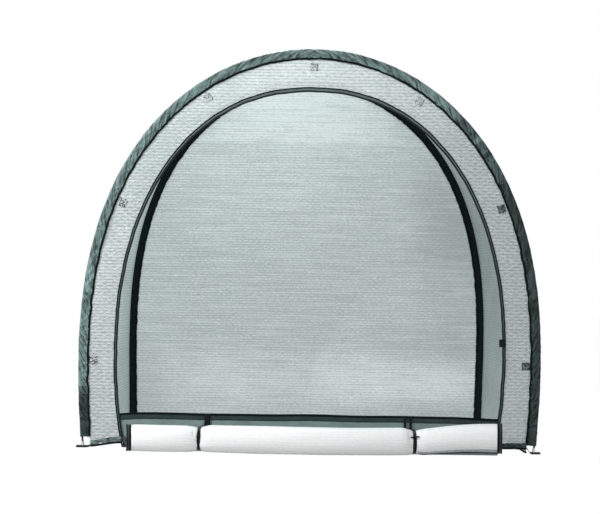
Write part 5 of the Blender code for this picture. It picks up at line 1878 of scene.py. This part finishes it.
@dataclass
class Ties:
    """Webbing straps under the roll, elastic loops over it, and bar toggles."""

    roll: DoorRoll
    finishes: Wardrobe
    width: float = 0.017
    thickness: float = 0.0015
    gap: float = 0.0003
    elastic_width: float = 0.0056
    elastic_thickness: float = 0.0026
    toggle_length: float = 0.037
    toggle_diameter: float = 0.0065
    cord_diameter: float = 0.003
    knot_diameter: float = 0.0065
    toggle_turns: tuple[float, float] = (90.0, 7.0)

    def __post_init__(self) -> None:
        """Take the slope of the roll where the toggles lie."""
        slope = math.radians(self.roll.toggle_degrees)
        self.away = np.array((0.0, -math.cos(slope), math.sin(slope)))
        self.up = np.array((0.0, math.sin(slope), math.cos(slope)))

    def build(self) -> None:
        """Build both ties."""
        for side in Side:
            self.strap(side)
            self.elastic(side)
            self.toggle(side)

    def around(self, x: Points, degrees: Points, radius: Points) -> Points:
        """Points round the roll; 0 degrees faces the front and 90 faces up."""
        angle = np.radians(degrees)
        y = self.roll.axis_y - radius * np.cos(angle)
        return joined(x, y, self.roll.axis_z + radius * np.sin(angle))

    def strap(self, side: Side) -> None:
        """Build the webbing with its cord and knot.

        Args:
            side: Left or right.
        """
        node = f"tie_strap_{side.label}"
        low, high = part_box(node)
        x = self.roll.tie_place(side)
        middle = self.roll.pinch_radius + self.gap + self.thickness / 2
        flat_y = np.linspace(high.y, self.roll.axis_y + 0.4 * middle, 30)
        wound = self.around(0.0, np.linspace(-92, self.roll.toggle_degrees + 22, 60), middle)
        path_y = np.concatenate([flat_y, wound[:, 1]])
        path_z = np.maximum(np.concatenate([np.zeros(30), wound[:, 2]]), self.thickness / 2)
        across = np.linspace(-0.5, 0.5, 9) * self.width
        narrow = np.ones(90)
        narrow[-14:] = np.linspace(1.0, 0.72, 14)
        rim = 0.0004 * np.cos(across / self.width * math.pi)
        points = joined(x + across * narrow[:, None], path_y[:, None] - rim, path_z[:, None])
        maker = MeshMaker(self.finishes)
        along = steps(joined(path_y, path_z))
        maker.grid(points, metres(along, across))
        piece = maker.build(f"tie_webbing_{side.label}", "webbing")
        thicken(piece, self.thickness)
        place(piece, "black_webbing", node)

        front = self.around(x, self.roll.toggle_degrees, middle)
        cord, knot, reach = self.cord_diameter / 2, self.knot_diameter / 2, 0.0165
        profile = [
            (cord, 0.0), (cord, reach - 0.0062), (0.8 * knot, reach - 0.006), (knot, reach - 0.0045),
            (knot, reach - 0.002), (0.75 * knot, reach - 0.0006), (0.3 * knot, reach),
        ]
        maker = MeshMaker(self.finishes)
        lathe(maker, profile, front, self.away)
        spots = np.linspace(0, 2 * math.pi, 9)[:-1, None]
        ring = np.cos(spots) * RIGHTWARD + np.sin(spots) * self.up
        centres = front + self.away * (reach - 0.0032) + ring * knot * 0.96
        way = unit(np.cos(spots) * self.up - np.sin(spots) * RIGHTWARD - 0.5 * self.away)
        maker.stitches(centres, way, ring, (0.004, 0.002, 0.0008))
        piece = maker.build(f"tie_knot_{side.label}", "elastic_braid")
        place(piece, "black_webbing")

    def elastic(self, side: Side) -> None:
        """Build the elastic loop from the threshold's loop over the roll to the toggle.

        Args:
            side: Left or right.
        """
        node = f"tie_elastic_{side.label}"
        low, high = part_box(node)
        x = self.roll.tie_place(side)
        eye_y, eye_z = high.y - self.elastic_thickness / 2, 0.104
        eye_away = math.hypot(eye_y - self.roll.axis_y, eye_z - self.roll.axis_z)
        eye_degrees = math.degrees(math.atan2(eye_z - self.roll.axis_z, self.roll.axis_y - eye_y))
        share = np.linspace(0.0, 1.0, 70)
        close = self.roll.pinch_radius + 2 * self.gap + self.thickness + self.elastic_thickness / 2
        turn = np.linspace(0, 2 * math.pi, 13)[:-1]
        wide, thick = self.elastic_width / 2, self.elastic_thickness / 2
        maker = MeshMaker(self.finishes)
        for hand in (-1, 1):
            eye_x = side.pick(*LOOP_PLACES) + hand * 0.0165
            pin_x = x + hand * (wide + 0.0004)
            ease = np.minimum(1.0, share / 0.55)
            spot = eye_x + (pin_x - eye_x) * ease * ease * (3 - 2 * ease)
            near = np.maximum(self.roll.outer(spot) + self.elastic_thickness, close)
            lift = (eye_away - near) * np.clip(1.0 - share / 0.35, 0, 1) ** 2
            degrees = eye_degrees + (self.roll.toggle_degrees - 3.0 - eye_degrees) * share
            path = self.around(spot, degrees, near + lift)
            up = self.roll.outward(path)
            aside = np.cross(unit(np.gradient(path, axis=0)), up)
            ring = aside[:, None] * (wide * np.cos(turn))[:, None]
            ring = ring + up[:, None] * (thick * np.sin(turn))[:, None]
            maker.grid(path[:, None] + ring, metres(steps(path), np.linspace(0, 0.014, 13)), closed=True)
        piece = maker.build(f"tie_elastic_loop_{side.label}", "elastic_braid")
        place(piece, "black_elastic", node)

    def toggle(self, side: Side) -> None:
        """Build a bar toggle with flared ends.

        Args:
            side: Left or right; the left one hangs upright at rest.
        """
        node = f"toggle_{side.label}"
        low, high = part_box(node)
        centre = np.array([(low[k] + high[k]) / 2 for k in range(3)])
        turn = math.radians(side.pick(*self.toggle_turns))
        axis = math.cos(turn) * RIGHTWARD + math.sin(turn) * self.up
        half, tip = self.toggle_length / 2, self.toggle_diameter / 2
        profile = [
            (0.3 * tip, 0.0), (0.72 * tip, 0.0002), (0.93 * tip, 0.0008), (tip, 0.0018), (tip, 0.0042),
            (0.9 * tip, 0.0052), (0.86 * tip, 0.006), (0.86 * tip, half - 0.005),
            (0.98 * tip, half - 0.0032), (0.98 * tip, half),
        ]
        profile += [(radius, 2 * half - along) for radius, along in reversed(profile[:-1])]
        maker = MeshMaker(self.finishes)
        lathe(maker, profile, centre - axis * half, axis)
        piece = maker.build(f"bar_toggle_{side.label}", "toggle_plastic")
        place(piece, "black_plastic", node, body=node)


# Stage


@dataclass
class Studio:
    """Camera, lamps, floor and background."""

    front_y: float
    distance: float = 4.545
    height: float = 0.696
    aside: float = -0.083
    lean_degrees: float = 0.9
    focal_pixels: float = 1045.0
    image_width: float = 600.0
    image_height: float = 514.0
    vanishing: tuple[float, float] = (291.6, 290.0)

    def camera(self) -> None:
        """Place the camera at the photograph's viewpoint."""
        data = bpy.data.cameras.new("viewpoint")
        data.sensor_width = 36.0
        data.lens = self.focal_pixels / self.image_width * data.sensor_width
        data.shift_x = (self.image_width / 2 - self.vanishing[0]) / self.image_width
        data.shift_y = (self.vanishing[1] - self.image_height / 2) / self.image_width
        camera = bpy.data.objects.new("viewpoint", data)
        lean = math.radians(self.lean_degrees)
        right = Vector((math.cos(lean), 0.0, math.sin(lean)))
        up = Vector((-math.sin(lean), 0.0, math.cos(lean)))
        turn = Matrix((right, up, Vector((0.0, -1.0, 0.0)))).transposed()
        spot = (self.aside, self.front_y - self.distance, self.height)
        camera.matrix_world = Matrix.Translation(spot) @ turn.to_4x4()
        bpy.context.scene.collection.objects.link(camera)
        bpy.context.scene.camera = camera

    def lamp(self, name: str, place_at: Sequence[float], size: float, power: float) -> None:
        """Add a square lamp aimed at the tent.

        Args:
            name: Name of the lamp.
            place_at: Its place.
            size: Edge of the square.
            power: Watts.
        """
        data = bpy.data.lights.new(name, "AREA")
        data.size, data.energy = size, power
        lamp = bpy.data.objects.new(name, data)
        lamp.location = place_at
        aim = Vector((0.0, 0.0, 0.8)) - Vector(place_at)
        lamp.rotation_euler = aim.to_track_quat("-Z", "Y").to_euler()
        bpy.context.scene.collection.objects.link(lamp)

    def seen_white(self, graph: Graph) -> Socket:
        """Mask of rays for which the background is white.

        Args:
            graph: Graph of a material or the world.

        Returns:
            Socket that is 1 for camera, glossy and transmission rays.
        """
        path = graph.node("ShaderNodeLightPath")
        shown = graph.math("MAXIMUM", path.outputs["Is Camera Ray"], path.outputs["Is Glossy Ray"])
        return graph.math("MAXIMUM", shown, path.outputs["Is Transmission Ray"])

    def world(self, ambient: float) -> None:
        """White background with plain ambient light.

        Args:
            ambient: Strength of the ambient light.
        """
        world = bpy.data.worlds.new("studio")
        world.use_nodes = True
        graph = Graph(world.node_tree)
        background = graph.tree.nodes["Background"]
        graph.put(background.inputs["Color"], (1.0, 1.0, 1.0))
        graph.put(background.inputs["Strength"], graph.span(self.seen_white(graph), 0, 1, ambient, 1.0))
        bpy.context.scene.world = world

    def floor(self) -> None:
        """Pale floor that keeps a soft shadow."""
        material = bpy.data.materials.new("studio_floor")
        material.use_nodes = True
        graph = Graph(material.node_tree)
        shader = graph.tree.nodes["Principled BSDF"]
        for name, value in (("Base Color", (0.62,) * 3), ("Roughness", 0.9), ("Specular IOR Level", 0.0)):
            graph.put(shader.inputs[name], value)
        glow = graph.node("ShaderNodeEmission", (1.0, 1.0, 1.0), 1.015)
        share = graph.times(self.seen_white(graph), 0.97)
        blend = graph.node("ShaderNodeMixShader", share, shader.outputs[0], glow.outputs[0])
        graph.put(graph.tree.nodes["Material Output"].inputs["Surface"], blend.outputs[0])
        mesh = bpy.data.meshes.new("studio_floor")
        corners = [(x, y, -0.0004) for x, y in ((-30, -30), (30, -30), (30, 30), (-30, 30))]
        mesh.from_pydata(corners, [], [(0, 1, 2, 3)])
        mesh.materials.append(material)
        floor = bpy.data.objects.new("studio_floor", mesh)
        bpy.context.scene.collection.objects.link(floor)

    def build(self) -> None:
        """Set up the stage."""
        self.camera()
        self.world(0.36)
        self.lamp("key", (-3.2, -2.4, 2.8), 1.6, 135.0)
        self.lamp("fill", (0.6, -5.0, 2.0), 2.5, 28.0)
        self.lamp("top", (-0.4, 0.7, 3.6), 1.5, 100.0)
        self.floor()
        bpy.context.scene.view_settings.view_transform = "Standard"


def dress_solids(nodes: dict[str, bpy.types.Object], finishes: Wardrobe) -> None:
    """Give the carried-over solids their finishes.

    Args:
        nodes: Solids of the frame by name.
        finishes: Materials.
    """
    looks = {
        "fibreglass": ("rod_section",),
        "zinc": ("ferrule", "tip", "eyelet"),
        "dark_metal": ("zip_slider", "zip_pull"),
        "toggle_plastic": ("toggle",),
        "solid_webbing": ("corner_strap", "tie_strap", "tie_elastic"),
    }
    for name, node in nodes.items():
        for look, words in looks.items():
            if any(word in name for word in words):
                node.data.materials.clear()
                node.data.materials.append(finishes[look])


def main() -> None:
    """Build the tent's looks round its frame."""
    logging.basicConfig(level=logging.INFO, format="%(message)s")
    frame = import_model()
    finishes = Wardrobe()
    dress_solids(frame["nodes"], finishes)

    front = HoopShape("front_rod_section_3", 0.105, 4.53).line()
    rear = HoopShape("rear_rod_section_3", -0.19, 4.6).line()
    door = door_line(front.y)
    Studio(front.y).build()
    Sleeve("front", front, -1, finishes, 11).build()
    Sleeve("rear", rear, 1, finishes, 12, lift_left=0.032, lift_right=0.03).build()
    Zip(door, finishes).build()
    Cover(front, rear, door, finishes).build()
    Hems(rear, finishes).build()
    CornerStraps({"front": front, "rear": rear}, finishes).build()
    Threshold(door, finishes).build()
    roll = DoorRoll(door, finishes)
    roll.build()
    Ties(roll, finishes).build()


if __name__ == "__main__":
    main()
